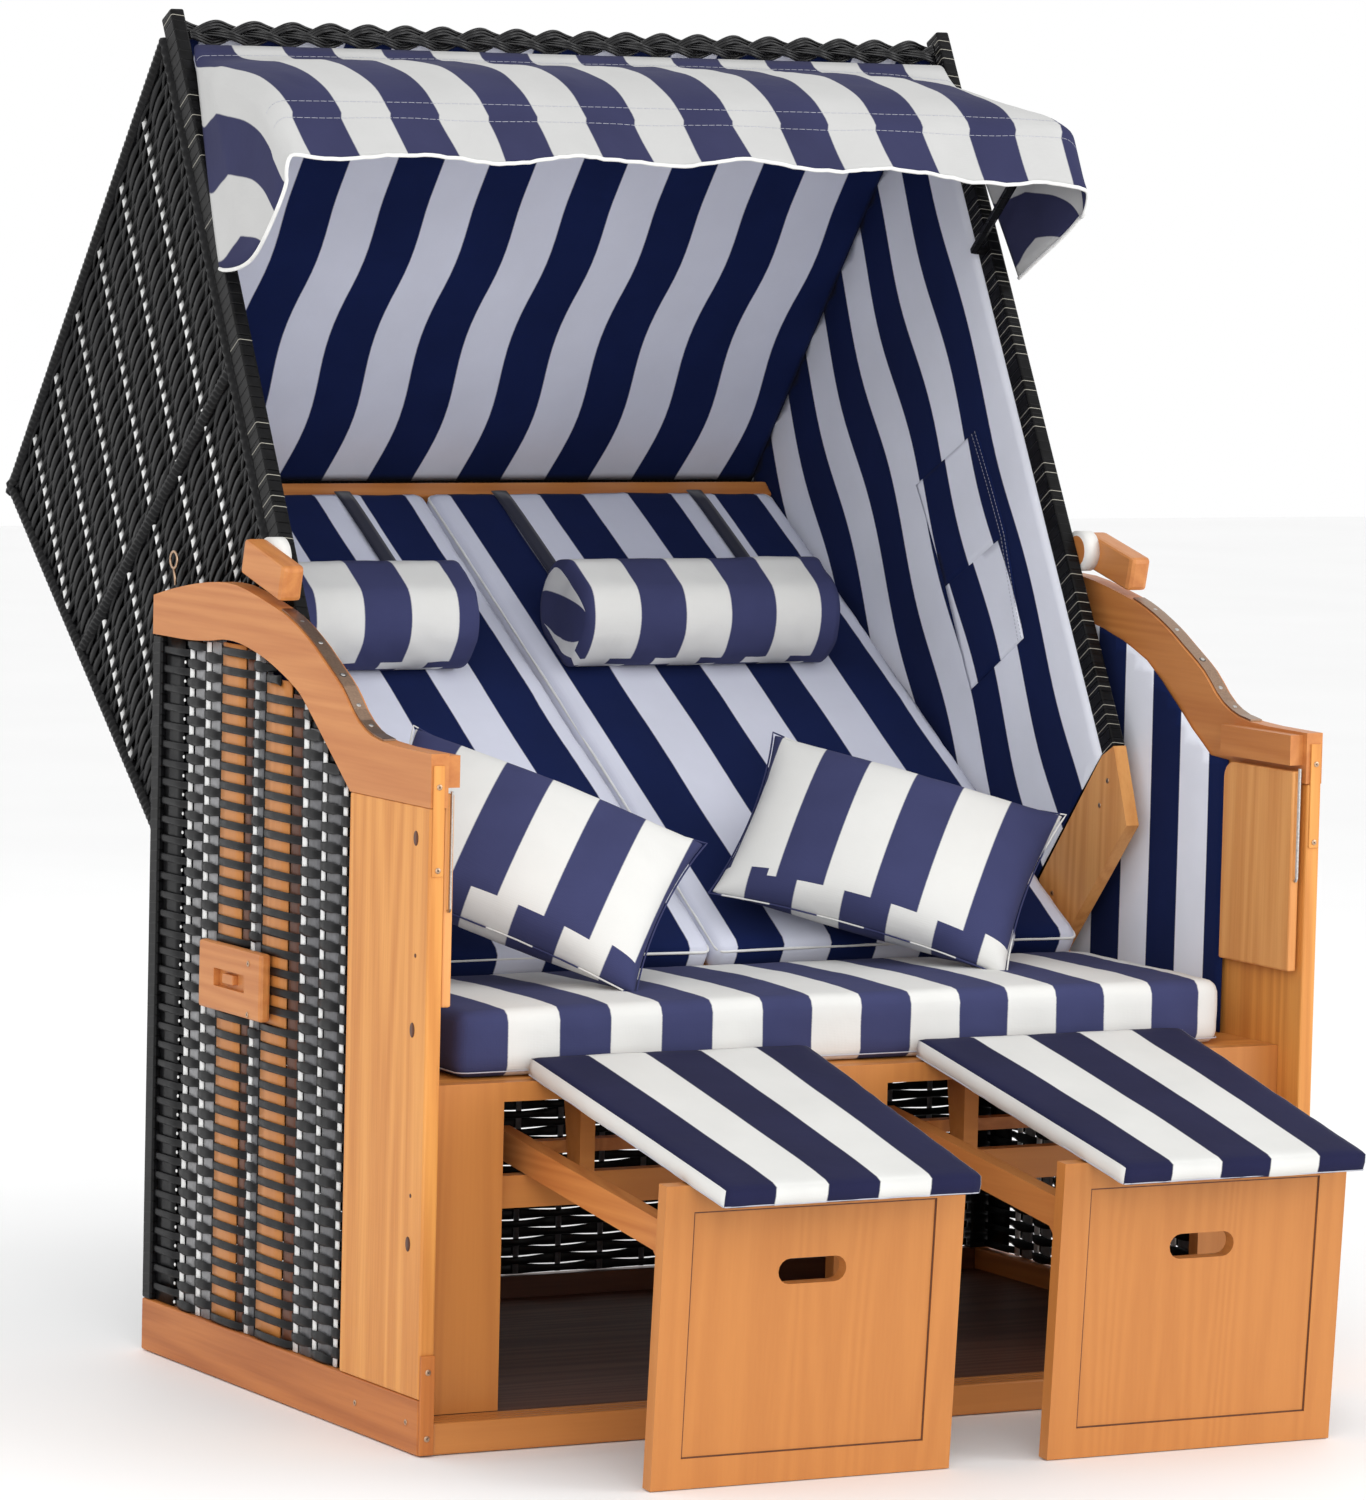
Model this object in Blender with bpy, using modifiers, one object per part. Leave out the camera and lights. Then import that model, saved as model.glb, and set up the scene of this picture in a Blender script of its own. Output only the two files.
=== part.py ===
"""Hooded two-seat beach chair with a tilting woven hood, pull-out footrests and folding side tables.

Units are metres, +Z is up, the front faces -Y, and left is -X.
The origin lies on the floor, under the middle of the base.
"""

import math

import bmesh
import bpy
from mathutils import Matrix, Vector

# Overall sizes
width = 1.18
depth = 0.751
half_width = width / 2
clearance = 0.0003
board = 0.019
edge_radius = 0.0025
edge_steps = 2
cut_overrun = 0.01

# Base frame
base_board_height = 0.063
front_beam_depth = 0.046
front_beam_height = 0.036
groove_width = 0.004
groove_depth = 0.003
groove_count = 3
floor_thickness = 0.006
runner_width = 0.08
post_board_depth = 0.204
post_joint_height = 0.7275
back_post_depth = 0.024
back_post_width = 0.0295
rear_panel_top = 0.47
rear_panel_thickness = 0.012
rear_panel_inset = 0.004
side_panel_thickness = 0.014
side_panel_inset = 0.002
panel_gap = 0.0015

# Armrest, a board cut to an S in side view
armrest_thickness = 0.022
armrest_front_height = 0.0605
armrest_front_top = post_joint_height + armrest_front_height
armrest_rise = 0.152
armrest_radius = 0.003
armrest_top_shares = (
    (0.0, 0.0), (0.17, 0.02), (0.25, 0.13), (0.31, 0.36), (0.375, 0.54), (0.425, 0.67),
    (0.49, 0.80), (0.56, 0.89), (0.69, 1.0), (0.80, 0.985), (0.92, 0.90), (1.0, 0.82),
)
armrest_low_shares = (
    (0.42, 0.145), (0.47, 0.296), (0.55, 0.434), (0.61, 0.507), (0.676, 0.559),
    (0.735, 0.565), (0.79, 0.535), (0.86, 0.515), (0.94, 0.513), (1.0, 0.513),
)
outline_steps = 3

# Perforated locking strip on the armrest
strip_thickness = 0.002
strip_width = 0.016
strip_reach_shares = (0.15, 0.55)

# Fabric lining inside the base's sides
lining_thickness = 0.006
lining_front = 0.165
lining_rear_gap = 0.03
lining_overlap_share = 0.3

# Carrying plate on each side
plate_length = 0.172
plate_height = 0.080
plate_thickness = 0.014
plate_front = 0.407
plate_bottom = 0.4385
grip_length = 0.084
grip_height = 0.021
grip_depth = 0.008
plate_radius = 0.004

# Front frame and seat
frame_setback = 0.047
seat_board_top = 0.410
seat_board_thickness = 0.015
seat_rail_height = 0.022
opening_inner = 0.033
stile_width = 0.105
opening_outer = half_width - board - stile_width
seat_board_hood_gap = 0.060
slide_rail_front = 0.070
slide_rail_top = 0.2997
slide_rail_height = 0.037
wedge_spacing_share = 0.2448
wedge_thickness = 0.019
wedge_top_depth = 0.044
wedge_foot_depth = 0.026
cushion_front = 0.075
cushion_hood_gap = 0.090
cushion_side_gap = 0.078
cushion_half_width = half_width - cushion_side_gap
cushion_thickness = 0.076
cushion_crown = 0.006
cushion_draw = 0.006
cushion_rim = 0.026

# Throw pillows on the seat
pillow_width = 0.375
pillow_height = 0.26
pillow_thickness = 0.125
pillow_seam = 0.012
pillow_places = {
    "left": {"across_share": -0.519, "hood_gap": 0.168, "up": 0.1429, "lean": 45.0, "turn": -13.0,
             "roll": 28.0},
    "right": {"across_share": 0.3692, "hood_gap": 0.114, "up": 0.1299, "lean": 45.0, "turn": -21.0,
              "roll": 19.0},
}

# Hood, measured upright from its pivot: "back" is away from the front, "up" is along the posts
pivot_rear_gap = 0.261
pivot_behind = depth - pivot_rear_gap
pivot_height = 0.515
recline = math.radians(28.55)
hood_side_gap = 0.047
hood_half_width = half_width - hood_side_gap
hood_post_thickness = 0.018
hood_post_depth = 0.030
hood_post_front = 0.2208
hood_post_top = 1.130
hood_foot_top = 0.138
hood_corner_back = 0.4854
hood_corner_up = 0.830
hood_low_back = 0.158
hood_low_up = -0.020
hood_panel_thickness = 0.014
hood_skin = 0.0037
foot_front_drop = 0.100
foot_front_in = 0.0145
foot_rear_back = 0.012
foot_rear_low = -0.040
foot_rear_top = 0.058
pin_radius = 0.009
beam_radius = 0.0165
beam_sides = 16
beam_up = 1.105
hood_rail_start = 0.030
hood_rail_height = 0.025
hood_rail_depth = 0.030

# Wrapped bars and stakes that the hood's strands are woven on
wall_bar_radius = 0.0092
wall_bar_sides = 8
wall_brace_front_up = 0.6664
wall_brace_rear_up = 0.5419
stake_radius = 0.008
stake_rise = 0.003
stake_spacing = 0.0939
stake_start = 0.1059
stake_end_gap = 0.012
shell_stake_count = 15
shell_stake_end_gap = 0.020

# Backrest inside the hood
backrest_base_back = 0.0574
backrest_base_up = 0.1769
backrest_top_back_gap = 0.0847
backrest_top_up_gap = 0.0496
back_cushion_high_up = hood_corner_up - backrest_top_up_gap
backrest_angle = math.atan2(back_cushion_high_up - backrest_base_up,
                            hood_corner_back - backrest_top_back_gap - backrest_base_back)
back_cushion_thickness = 0.045
back_cushion_low_up = -0.0486
back_cushion_half_gap = 0.003
back_cushion_side_gap = 0.012
back_cushion_crown = 0.008
back_cushion_draw = 0.004
back_cushion_rim = 0.020
backrest_board_thickness = 0.010
backrest_board_top_gap = 0.0904
backrest_board_high_up = back_cushion_high_up - backrest_board_top_gap

# Head pillows on the back cushions
head_length = 0.375
head_height = 0.140
head_thickness = 0.118
head_rim = 0.018
head_round = 0.048
head_up_along = 0.599
head_press = 0.0042
head_centre_shares = {"left": -0.5525, "right": 0.3941}

# Awning and its bow
bow_radius = 0.0065
bow_sides = 8
bow_bend_points = 5
bow_side_gap = 0.031
bow_half_width = hood_half_width - bow_side_gap
bow_corner = 0.03
bow_pivot_back = -0.2058
bow_pivot_up = 0.826
bow_bar_back = -0.4190
bow_bar_up = 0.8835
bow_pin_radius = 0.004
awning_thickness = 0.002
awning_overhang = 0.009
awning_side = hood_half_width + awning_overhang
awning_start_back = -0.2224
awning_start_up = 1.0956
awning_ridge_back = -0.4260
awning_ridge_up = 0.8880
awning_edge_back = -0.4560
awning_edge_up = 0.8080
awning_tip_back = -0.2270
awning_tip_up = 0.7760
awning_front_low_back = -0.4340
awning_front_low_up = 0.7860
awning_crown = 0.012
awning_wave = 0.004
awning_wave_count = 5
awning_top_rows = 5
awning_front_rows = 3
awning_columns = 24
awning_flap_rows = 4
awning_corner_radius = 0.02

# Locking levers on the hood's posts
lever_length = 0.115
lever_height = 0.042
lever_width = 0.028
lever_pivot_gap = 0.040
lever_armrest_gap = 0.0225
lever_tilt = math.radians(14.0)
lever_pivot_share = 0.37
lever_radius = 0.006
spacer_radius = 0.019
spacer_sides = 20

# Footrests
footrest_centre_share = 0.5445
footrest_side_gap = 0.027
footrest_centre = footrest_centre_share * opening_outer
footrest_width = opening_outer - opening_inner - 2 * footrest_side_gap
footrest_thickness = 0.018
footrest_behind = -0.277
footrest_lean = math.radians(3.7)
field_side = 0.036
field_top = 0.030
field_bottom = 0.034
field_depth = 0.002
slot_length = 0.086
slot_height = 0.029
slot_above_floor = 0.237
slot_steps = 8
slide_slope = math.radians(7.5)
arm_height = 0.034
arm_inset = 0.024
arm_spacing = footrest_width / 2 - arm_inset
arm_rear = 0.142
gusset_length = 0.015
gusset_height = 0.028
cross_bar_depth = 0.019
pad_inset = 0.0315
pad_width = footrest_width - 2 * pad_inset
pad_length = 0.452
pad_thickness = 0.0175
pad_board_thickness = 0.005
pad_board_inset = 0.010
pad_rear = 0.066
pad_slope = math.radians(11.5)
pad_rim = 0.010
pad_crown = 0.003
pad_draw = 0.002

# A footrest's panel is as tall as the pad's board that rests on its top edge lets it be
panel_to_rail = frame_setback - footrest_behind
pad_under_at_panel = (seat_board_top + clearance - panel_to_rail * math.tan(pad_slope)
                      - clearance / math.cos(pad_slope))
footrest_height = pad_under_at_panel / (math.cos(footrest_lean)
                                        + math.sin(footrest_lean) * math.tan(pad_slope))

# Side tables
table_depth = 0.152
table_front = 0.008
table_thickness = 0.012
table_top_gap = 0.046
table_seat_gap = 0.093
table_bottom = seat_board_top + table_seat_gap
table_height = armrest_front_top - table_top_gap - table_bottom
table_corner = 0.02
table_side_clearance = 0.0005
cleat_height = 0.036
cleat_gap = 0.003
cleat_thickness = 0.018
brace_radius = 0.002
brace_sides_resolution = 1
brace_length = 0.134
brace_drop = 0.1305
brace_bend = 0.003

sides = {"left": -1, "right": 1}

colours = {
    "pine": (0.78, 0.42, 0.12, 0.45, 0.0),
    "armrest_wood": (0.60, 0.27, 0.10, 0.42, 0.0),
    "brown_wood": (0.36, 0.13, 0.05, 0.50, 0.0),
    "black_wicker": (0.012, 0.012, 0.014, 0.35, 0.0),
    "navy_stripe": (0.05, 0.055, 0.14, 0.85, 0.0),
    "white_fabric": (0.80, 0.80, 0.78, 0.85, 0.0),
    "steel": (0.62, 0.60, 0.58, 0.30, 1.0),
}


def clear_scene():
    for obj in list(bpy.data.objects):
        bpy.data.objects.remove(obj, do_unlink=True)


def new_collection(name):
    collection = bpy.data.collections.new(name)
    bpy.context.scene.collection.children.link(collection)
    return collection


def material_for(name, colour_name):
    red, green, blue, roughness, metallic = colours[colour_name]
    material = bpy.data.materials.new(name)
    material.use_nodes = True
    shader = material.node_tree.nodes["Principled BSDF"]
    shader.inputs["Base Color"].default_value = (red, green, blue, 1)
    shader.inputs["Roughness"].default_value = roughness
    shader.inputs["Metallic"].default_value = metallic
    return material


def add_object(name, mesh, colour_name):
    obj = bpy.data.objects.new(name, mesh)
    parts.objects.link(obj)
    mesh.materials.clear()
    mesh.materials.append(material_for(name, colour_name))
    return obj


def add_bevel(obj, radius, steps=edge_steps):
    bevel = obj.modifiers.new("rounded_edges", "BEVEL")
    bevel.width = radius
    bevel.segments = steps
    bevel.limit_method = "ANGLE"
    return bevel


def mesh_from(bm, name):
    mesh = bpy.data.meshes.new(name)
    bm.to_mesh(mesh)
    bm.free()
    return mesh


def box_mesh(name, low, high):
    size = Vector(high) - Vector(low)
    bm = bmesh.new()
    bmesh.ops.create_cube(bm, size=1)
    bmesh.ops.scale(bm, vec=size, verts=bm.verts)
    return mesh_from(bm, name)


def box(name, low, high, colour_name, radius=0.0):
    obj = add_object(name, box_mesh(name, low, high), colour_name)
    obj.location = (Vector(low) + Vector(high)) / 2
    if radius:
        add_bevel(obj, radius)
    return obj


def curve_to_mesh(curve_object, name):
    """Turn a filled curve object into a closed mesh in world space."""
    bpy.context.scene.collection.objects.link(curve_object)
    bpy.context.view_layer.update()
    evaluated = curve_object.evaluated_get(bpy.context.evaluated_depsgraph_get())
    mesh = bpy.data.meshes.new_from_object(evaluated)
    matrix = curve_object.matrix_world.copy()
    curve = curve_object.data
    bpy.data.objects.remove(curve_object, do_unlink=True)
    bpy.data.curves.remove(curve)
    bm = bmesh.new()
    bm.from_mesh(mesh)
    bmesh.ops.remove_doubles(bm, verts=bm.verts, dist=weld_distance)
    bmesh.ops.recalc_face_normals(bm, faces=bm.faces)
    bm.to_mesh(mesh)
    bm.free()
    mesh.name = name
    return mesh, matrix


def outline_mesh(name, loops, thickness, plane, middle):
    """Extrude flat loops: in the plane "yz" along X, or in the plane "xz" along Y."""
    curve = bpy.data.curves.new(name + "_outline", "CURVE")
    curve.dimensions = "2D"
    curve.fill_mode = "BOTH"
    curve.extrude = thickness / 2
    for loop in loops:
        spline = curve.splines.new("POLY")
        spline.points.add(len(loop) - 1)
        spline.use_cyclic_u = True
        for point, (first, second) in zip(spline.points, loop):
            point.co = (first, second, 0, 1)
    holder = bpy.data.objects.new(name + "_outline", curve)
    quarter = math.pi / 2
    if plane == "yz":
        holder.rotation_euler = (quarter, 0, quarter)
        holder.location = (middle, 0, 0)
    else:
        holder.rotation_euler = (quarter, 0, 0)
        holder.location = (0, middle, 0)
    return curve_to_mesh(holder, name)


def outline_solid(name, loops, low, high, colour_name, plane="yz", radius=0.0):
    mesh, matrix = outline_mesh(name, loops, high - low, plane, (low + high) / 2)
    obj = add_object(name, mesh, colour_name)
    obj.matrix_world = matrix
    if radius:
        add_bevel(obj, radius)
    return obj


def side_outline(name, loops, side, inner, outer, colour_name, radius=0.0):
    """An outline in the side view, between two distances from the middle on one side."""
    low, high = sorted((side * inner, side * outer))
    return outline_solid(name, loops, low, high, colour_name, "yz", radius)


def side_box(name, side, inner, outer, y_range, z_range, colour_name, radius=0.0):
    low, high = sorted((side * inner, side * outer))
    return box(name, (low, y_range[0], z_range[0]), (high, y_range[1], z_range[1]), colour_name, radius)


def cut(obj, cutter):
    join(obj, cutter, "DIFFERENCE")


def join(obj, other, operation="UNION"):
    other.hide_render = True
    other.display_type = "WIRE"
    modifier = obj.modifiers.new(operation.lower(), "BOOLEAN")
    modifier.operation = operation
    modifier.object = other


def cutter_from(name, mesh, matrix):
    obj = bpy.data.objects.new(name, mesh)
    cutters.objects.link(obj)
    obj.matrix_world = matrix
    return obj


def box_cutter(name, low, high):
    centre = (Vector(low) + Vector(high)) / 2
    return cutter_from(name, box_mesh(name, low, high), Matrix.Translation(centre))


def rod_mesh(name, radius, length, sides_around):
    """A cylinder along X, centred on its middle."""
    bm = bmesh.new()
    bmesh.ops.create_cone(
        bm, cap_ends=True, segments=sides_around, radius1=radius, radius2=radius, depth=length)
    bmesh.ops.rotate(bm, verts=bm.verts, matrix=Matrix.Rotation(math.pi / 2, 3, "Y"))
    mesh = mesh_from(bm, name)
    mesh.shade_smooth()
    mesh.set_sharp_from_angle(angle=sharp_angle)
    return mesh


def smooth_points(points, steps):
    """A Catmull-Rom curve through the points, with so many steps between each pair."""
    result = []
    last = len(points) - 1
    for index in range(last):
        before = points[max(index - 1, 0)]
        start = points[index]
        end = points[index + 1]
        after = points[min(index + 2, last)]
        for step in range(steps):
            t = step / steps
            result.append(tuple(
                (2 * b + (c - a) * t + (2 * a - 5 * b + 4 * c - d) * t ** 2
                 + (3 * b - a - 3 * c + d) * t ** 3) / 2
                for a, b, c, d in zip(before, start, end, after)))
    result.append(tuple(points[last]))
    return result


def from_front(distance):
    """The Y of a place so far behind the front plane of the posts."""
    return distance - depth / 2


def from_hood(back, up):
    """Y and Z of a place given upright from the hood's pivot, with the hood reclined."""
    y = from_front(pivot_behind) + back * math.cos(recline) + up * math.sin(recline)
    z = pivot_height - back * math.sin(recline) + up * math.cos(recline)
    return y, z


def hood_loop(points):
    return [from_hood(back, up) for back, up in points]


def unit(vector):
    return Vector(vector).normalized()


def soft_block(name, half, rim, crown, draw, colour_name, seam=None, flat_base=True):
    """A crowned cushion from a coarse cage: rim is how far the outer cage lines lie from the edge."""
    bm = bmesh.new()
    bmesh.ops.create_cube(bm, size=2)
    bmesh.ops.subdivide_edges(bm, edges=bm.edges, cuts=cage_cuts, use_grid_fill=True)
    for vertex in bm.verts:
        share = Vector(vertex.co)
        place = Vector((0, 0, 0))
        for axis in range(3):
            near_edge = abs(share[axis]) > edge_share
            inner = half[axis] - rim[axis]
            reach = half[axis] if near_edge else inner * min(abs(share[axis]) / inner_share, 1)
            place[axis] = math.copysign(reach, share[axis]) if share[axis] else 0
        across = 1 - (place.x / half[0]) ** 2
        along = 1 - (place.y / half[1]) ** 2
        if seam is not None:
            fullness = (1 - (place.x / half[0]) ** 4) * (1 - (place.y / half[1]) ** 4)
            place.z *= (seam / 2 + (half[2] - seam / 2) * fullness) / half[2]
        if place.z > 0 or not flat_base:
            place.z += math.copysign(crown, place.z) * across * along * (place.z != 0)
        if abs(share.x) > edge_share:
            place.x -= math.copysign(draw, share.x) * along
        if abs(share.y) > edge_share:
            place.y -= math.copysign(draw, share.y) * across
        vertex.co = place
    mesh = mesh_from(bm, name)
    mesh.shade_smooth()
    obj = add_object(name, mesh, colour_name)
    smoothing = obj.modifiers.new("softness", "SUBSURF")
    smoothing.levels = 1
    smoothing.render_levels = 1
    return obj


weld_distance = 0.00001
sharp_angle = math.radians(35)
cage_cuts = 3
edge_share = 0.9
inner_share = 0.5

clear_scene()
parts = new_collection("hooded_beach_chair")
cutters = new_collection("cutters")


def armrest_point(share_pair):
    along, rise = share_pair
    return from_front(along * depth), armrest_front_top + rise * armrest_rise


def armrest_top_line():
    return smooth_points([armrest_point(pair) for pair in armrest_top_shares], outline_steps)


def armrest_low_line():
    """The underside from the post board back to the rear post."""
    corner = (from_front(post_board_depth), post_joint_height)
    return smooth_points([corner] + [armrest_point(pair) for pair in armrest_low_shares], outline_steps)


def height_on(line, y):
    for (y1, z1), (y2, z2) in zip(line, line[1:]):
        if y1 <= y <= y2:
            return z1 + (z2 - z1) * (y - y1) / (y2 - y1)
    return line[-1][1]


def make_base_frame():
    inner = half_width - board - clearance
    for word, side in sides.items():
        side_box(f"base_board_{word}", side, half_width - board, half_width,
                 (from_front(0), from_front(depth)), (0, base_board_height), "brown_wood", edge_radius)
        side_box(f"front_post_{word}", side, half_width - board, half_width,
                 (from_front(0), from_front(post_board_depth)),
                 (base_board_height + clearance, post_joint_height - clearance), "pine", edge_radius)
        side_box(f"back_post_{word}", side, half_width - back_post_width, half_width,
                 (from_front(depth - back_post_depth), from_front(depth)),
                 (base_board_height + clearance, armrest_low_line()[-1][1] - panel_gap),
                 "black_wicker", edge_radius)
    beam = box("front_beam", (-inner, from_front(0), 0),
               (inner, from_front(front_beam_depth), front_beam_height), "pine", edge_radius)
    spacing = front_beam_depth / (groove_count + 1)
    for number in range(groove_count):
        middle = spacing * (number + 1)
        groove = box_cutter(
            f"beam_groove_{number + 1}",
            (-half_width, from_front(middle - groove_width / 2), front_beam_height - groove_depth),
            (half_width, from_front(middle + groove_width / 2), front_beam_height + cut_overrun))
        cut(beam, groove)
    box("rear_beam", (-inner, from_front(depth - board), 0),
        (inner, from_front(depth), base_board_height), "brown_wood", edge_radius)
    low = from_front(front_beam_depth + clearance)
    high = from_front(depth - board - clearance)
    top = front_beam_height
    under = front_beam_height - floor_thickness
    runner = runner_width / 2
    floor_outline = [(-inner, under), (-runner, under), (-runner, 0), (runner, 0), (runner, under),
                     (inner, under), (inner, top), (-inner, top)]
    outline_solid("floor_panel", [floor_outline], low, high, "brown_wood", "xz")
    box("rear_panel",
        (-(half_width - back_post_width - clearance),
         from_front(depth - rear_panel_inset - rear_panel_thickness), base_board_height + clearance),
        (half_width - back_post_width - clearance, from_front(depth - rear_panel_inset), rear_panel_top),
        "black_wicker")


def make_armrests():
    top = armrest_top_line()
    low = armrest_low_line()
    outline = top + list(reversed(low)) + [(from_front(0), post_joint_height)]
    strip = [(y, z) for y, z in top
             if strip_reach_shares[0] * depth <= y - from_front(0) <= strip_reach_shares[1] * depth]
    panel_start = from_front(post_board_depth + clearance)
    panel_end = from_front(depth - back_post_depth - clearance)
    panel_top = [(y, z - panel_gap) for y, z in low if panel_start < y < panel_end]
    panel_top = ([(panel_start, height_on(low, panel_start) - panel_gap)] + panel_top
                 + [(panel_end, height_on(low, panel_end) - panel_gap)])
    panel_foot = base_board_height + clearance
    panel = [(panel_start, panel_foot)] + panel_top + [(panel_end, panel_foot)]
    lining_start = from_front(lining_front)
    lining_end = from_front(depth - lining_rear_gap)
    overlap = lining_overlap_share * (armrest_front_top - post_joint_height)
    lining_line = [(y, z + overlap) for y, z in low if lining_start < y < lining_end]
    lining_line = ([(lining_start, post_joint_height + overlap)] + lining_line
                   + [(lining_end, height_on(low, lining_end) + overlap)])
    lining_foot = seat_board_top + clearance
    lining = [(lining_start, lining_foot)] + lining_line + [(lining_end, lining_foot)]
    armrest_inner = half_width - armrest_thickness
    panel_outer = half_width - side_panel_inset
    middle = half_width - armrest_thickness / 2
    for word, side in sides.items():
        armrest = side_outline(f"armrest_{word}", [outline], side, armrest_inner, half_width,
                               "armrest_wood")
        cleat_top = armrest_front_top - cleat_gap
        cleat_low, cleat_high = sorted((side * (armrest_inner - cleat_thickness),
                                        side * (armrest_inner + cleat_gap)))
        cleat = box_cutter(f"cleat_{word}", (cleat_low, from_front(table_front), cleat_top - cleat_height),
                           (cleat_high, from_front(table_front + table_depth), cleat_top))
        join(armrest, cleat)
        side_outline(f"side_panel_{word}", [panel], side, panel_outer - side_panel_thickness,
                     panel_outer, "black_wicker")
        side_outline(f"base_lining_{word}", [lining], side, armrest_inner - clearance - lining_thickness,
                     armrest_inner - clearance, "white_fabric")
        lock_loop = ([(y, z + clearance) for y, z in strip]
                     + [(y, z + clearance + strip_thickness) for y, z in reversed(strip)])
        side_outline(f"lock_strip_{word}", [lock_loop], side, middle - strip_width / 2,
                     middle + strip_width / 2, "steel")


def make_carrying_plates():
    inner = half_width - side_panel_inset + clearance
    outer = inner + plate_thickness
    for word, side in sides.items():
        rear = plate_front + plate_length
        plate = side_box(f"carry_plate_{word}", side, inner, outer,
                         (from_front(plate_front), from_front(rear)),
                         (plate_bottom, plate_bottom + plate_height), "armrest_wood", plate_radius)
        middle_y = from_front(plate_front + plate_length / 2)
        middle_z = plate_bottom + plate_height / 2
        low, high = sorted((side * (outer - grip_depth), side * (outer + cut_overrun)))
        grip = box_cutter(f"grip_{word}", (low, middle_y - grip_length / 2, middle_z - grip_height / 2),
                          (high, middle_y + grip_length / 2, middle_z + grip_height / 2))
        cut(plate, grip)


def make_front_frame():
    inner = half_width - board - clearance
    top = seat_board_top
    window_top = seat_board_top - seat_rail_height
    foot = front_beam_height + clearance
    outline = [(-inner, foot), (-opening_outer, foot), (-opening_outer, window_top),
               (-opening_inner, window_top), (-opening_inner, foot), (opening_inner, foot),
               (opening_inner, window_top), (opening_outer, window_top), (opening_outer, foot),
               (inner, foot), (inner, top), (-inner, top)]
    outline_solid("front_frame", [outline], from_front(frame_setback), from_front(frame_setback + board),
                  "pine", "xz")
    board_front = frame_setback + board + clearance
    box("seat_board", (-inner, from_front(board_front), seat_board_top - seat_board_thickness),
        (inner, from_front(pivot_behind - seat_board_hood_gap), seat_board_top), "pine")
    rail = box("slide_rail", (-inner, from_front(slide_rail_front), slide_rail_top - slide_rail_height),
               (inner, from_front(slide_rail_front + board), slide_rail_top), "armrest_wood")
    wedge_top = seat_board_top - seat_board_thickness - clearance
    wedge_foot = slide_rail_top - slide_rail_height / 2
    number = 0
    for side in sides.values():
        for shift in (-wedge_spacing_share * footrest_width, wedge_spacing_share * footrest_width):
            number += 1
            middle = side * footrest_centre + shift
            loop = [(from_front(slide_rail_front), wedge_foot),
                    (from_front(slide_rail_front + wedge_foot_depth), wedge_foot),
                    (from_front(slide_rail_front + wedge_top_depth), wedge_top),
                    (from_front(slide_rail_front), wedge_top)]
            mesh, matrix = outline_mesh(f"wedge_{number}", [loop], wedge_thickness, "yz", middle)
            join(rail, cutter_from(f"wedge_{number}", mesh, matrix))


def make_seat_cushion():
    cushion_rear = pivot_behind - cushion_hood_gap
    half = (cushion_half_width, (cushion_rear - cushion_front) / 2, cushion_thickness / 2)
    rim = (cushion_rim, cushion_rim, cushion_rim)
    cushion = soft_block("seat_cushion", half, rim, cushion_crown, cushion_draw, "navy_stripe")
    cushion.location = (0, from_front((cushion_front + cushion_rear) / 2),
                        seat_board_top + clearance + cushion_thickness / 2)


def make_throw_pillows():
    half = (pillow_width / 2, pillow_height / 2, pillow_thickness / 2)
    rim = (pillow_width / 10, pillow_height / 8, pillow_thickness / 6)
    for word, place in pillow_places.items():
        pillow = soft_block(f"throw_pillow_{word}", half, rim, 0, cushion_draw, "navy_stripe",
                            seam=pillow_seam, flat_base=False)
        turn = Matrix.Rotation(math.radians(place["turn"]), 4, "Z")
        lean = Matrix.Rotation(math.radians(90 - place["lean"]), 4, "X")
        roll = Matrix.Rotation(math.radians(-place["roll"]), 4, "Z")
        spot = Matrix.Translation((place["across_share"] * half_width,
                                   from_front(pivot_behind - place["hood_gap"]),
                                   seat_board_top + cushion_thickness + clearance + place["up"]))
        pillow.matrix_world = spot @ turn @ lean @ roll


def roof_direction():
    return unit((hood_corner_back + hood_post_front, hood_corner_up - hood_post_top))


def back_direction():
    return unit((hood_low_back - hood_corner_back, hood_low_up - hood_corner_up))


def inward(direction):
    """The normal that points into the hood, for lines that run clockwise in side view."""
    return Vector((direction.y, -direction.x))


def roof_line(offset, back):
    """A place on the roof's outer line, moved inwards by an offset, at a given back distance."""
    direction = roof_direction()
    start = Vector((-hood_post_front, hood_post_top)) + inward(direction) * offset
    return start + direction * ((back - start.x) / direction.x)


def back_line(offset, up):
    direction = back_direction()
    start = Vector((hood_corner_back, hood_corner_up)) + inward(direction) * offset
    return start + direction * ((up - start.y) / direction.y)


def hood_corner(offset):
    """Where the roof line and the back line cross, both moved inwards by an offset."""
    first = roof_line(offset, -hood_post_front)
    second = back_line(offset, hood_corner_up)
    along = roof_direction()
    down = back_direction()
    gap = second - first
    reach = (gap.x * down.y - gap.y * down.x) / (along.x * down.y - along.y * down.x)
    return first + along * reach


def hood_inner_half():
    return hood_half_width - hood_post_thickness - clearance


def foot_points():
    front = -hood_post_front
    return [(front, hood_foot_top),
            (front + foot_front_in, hood_foot_top - foot_front_drop),
            (foot_rear_back, foot_rear_low),
            (foot_rear_back, foot_rear_top),
            (front + hood_post_depth, hood_foot_top)]


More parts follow.
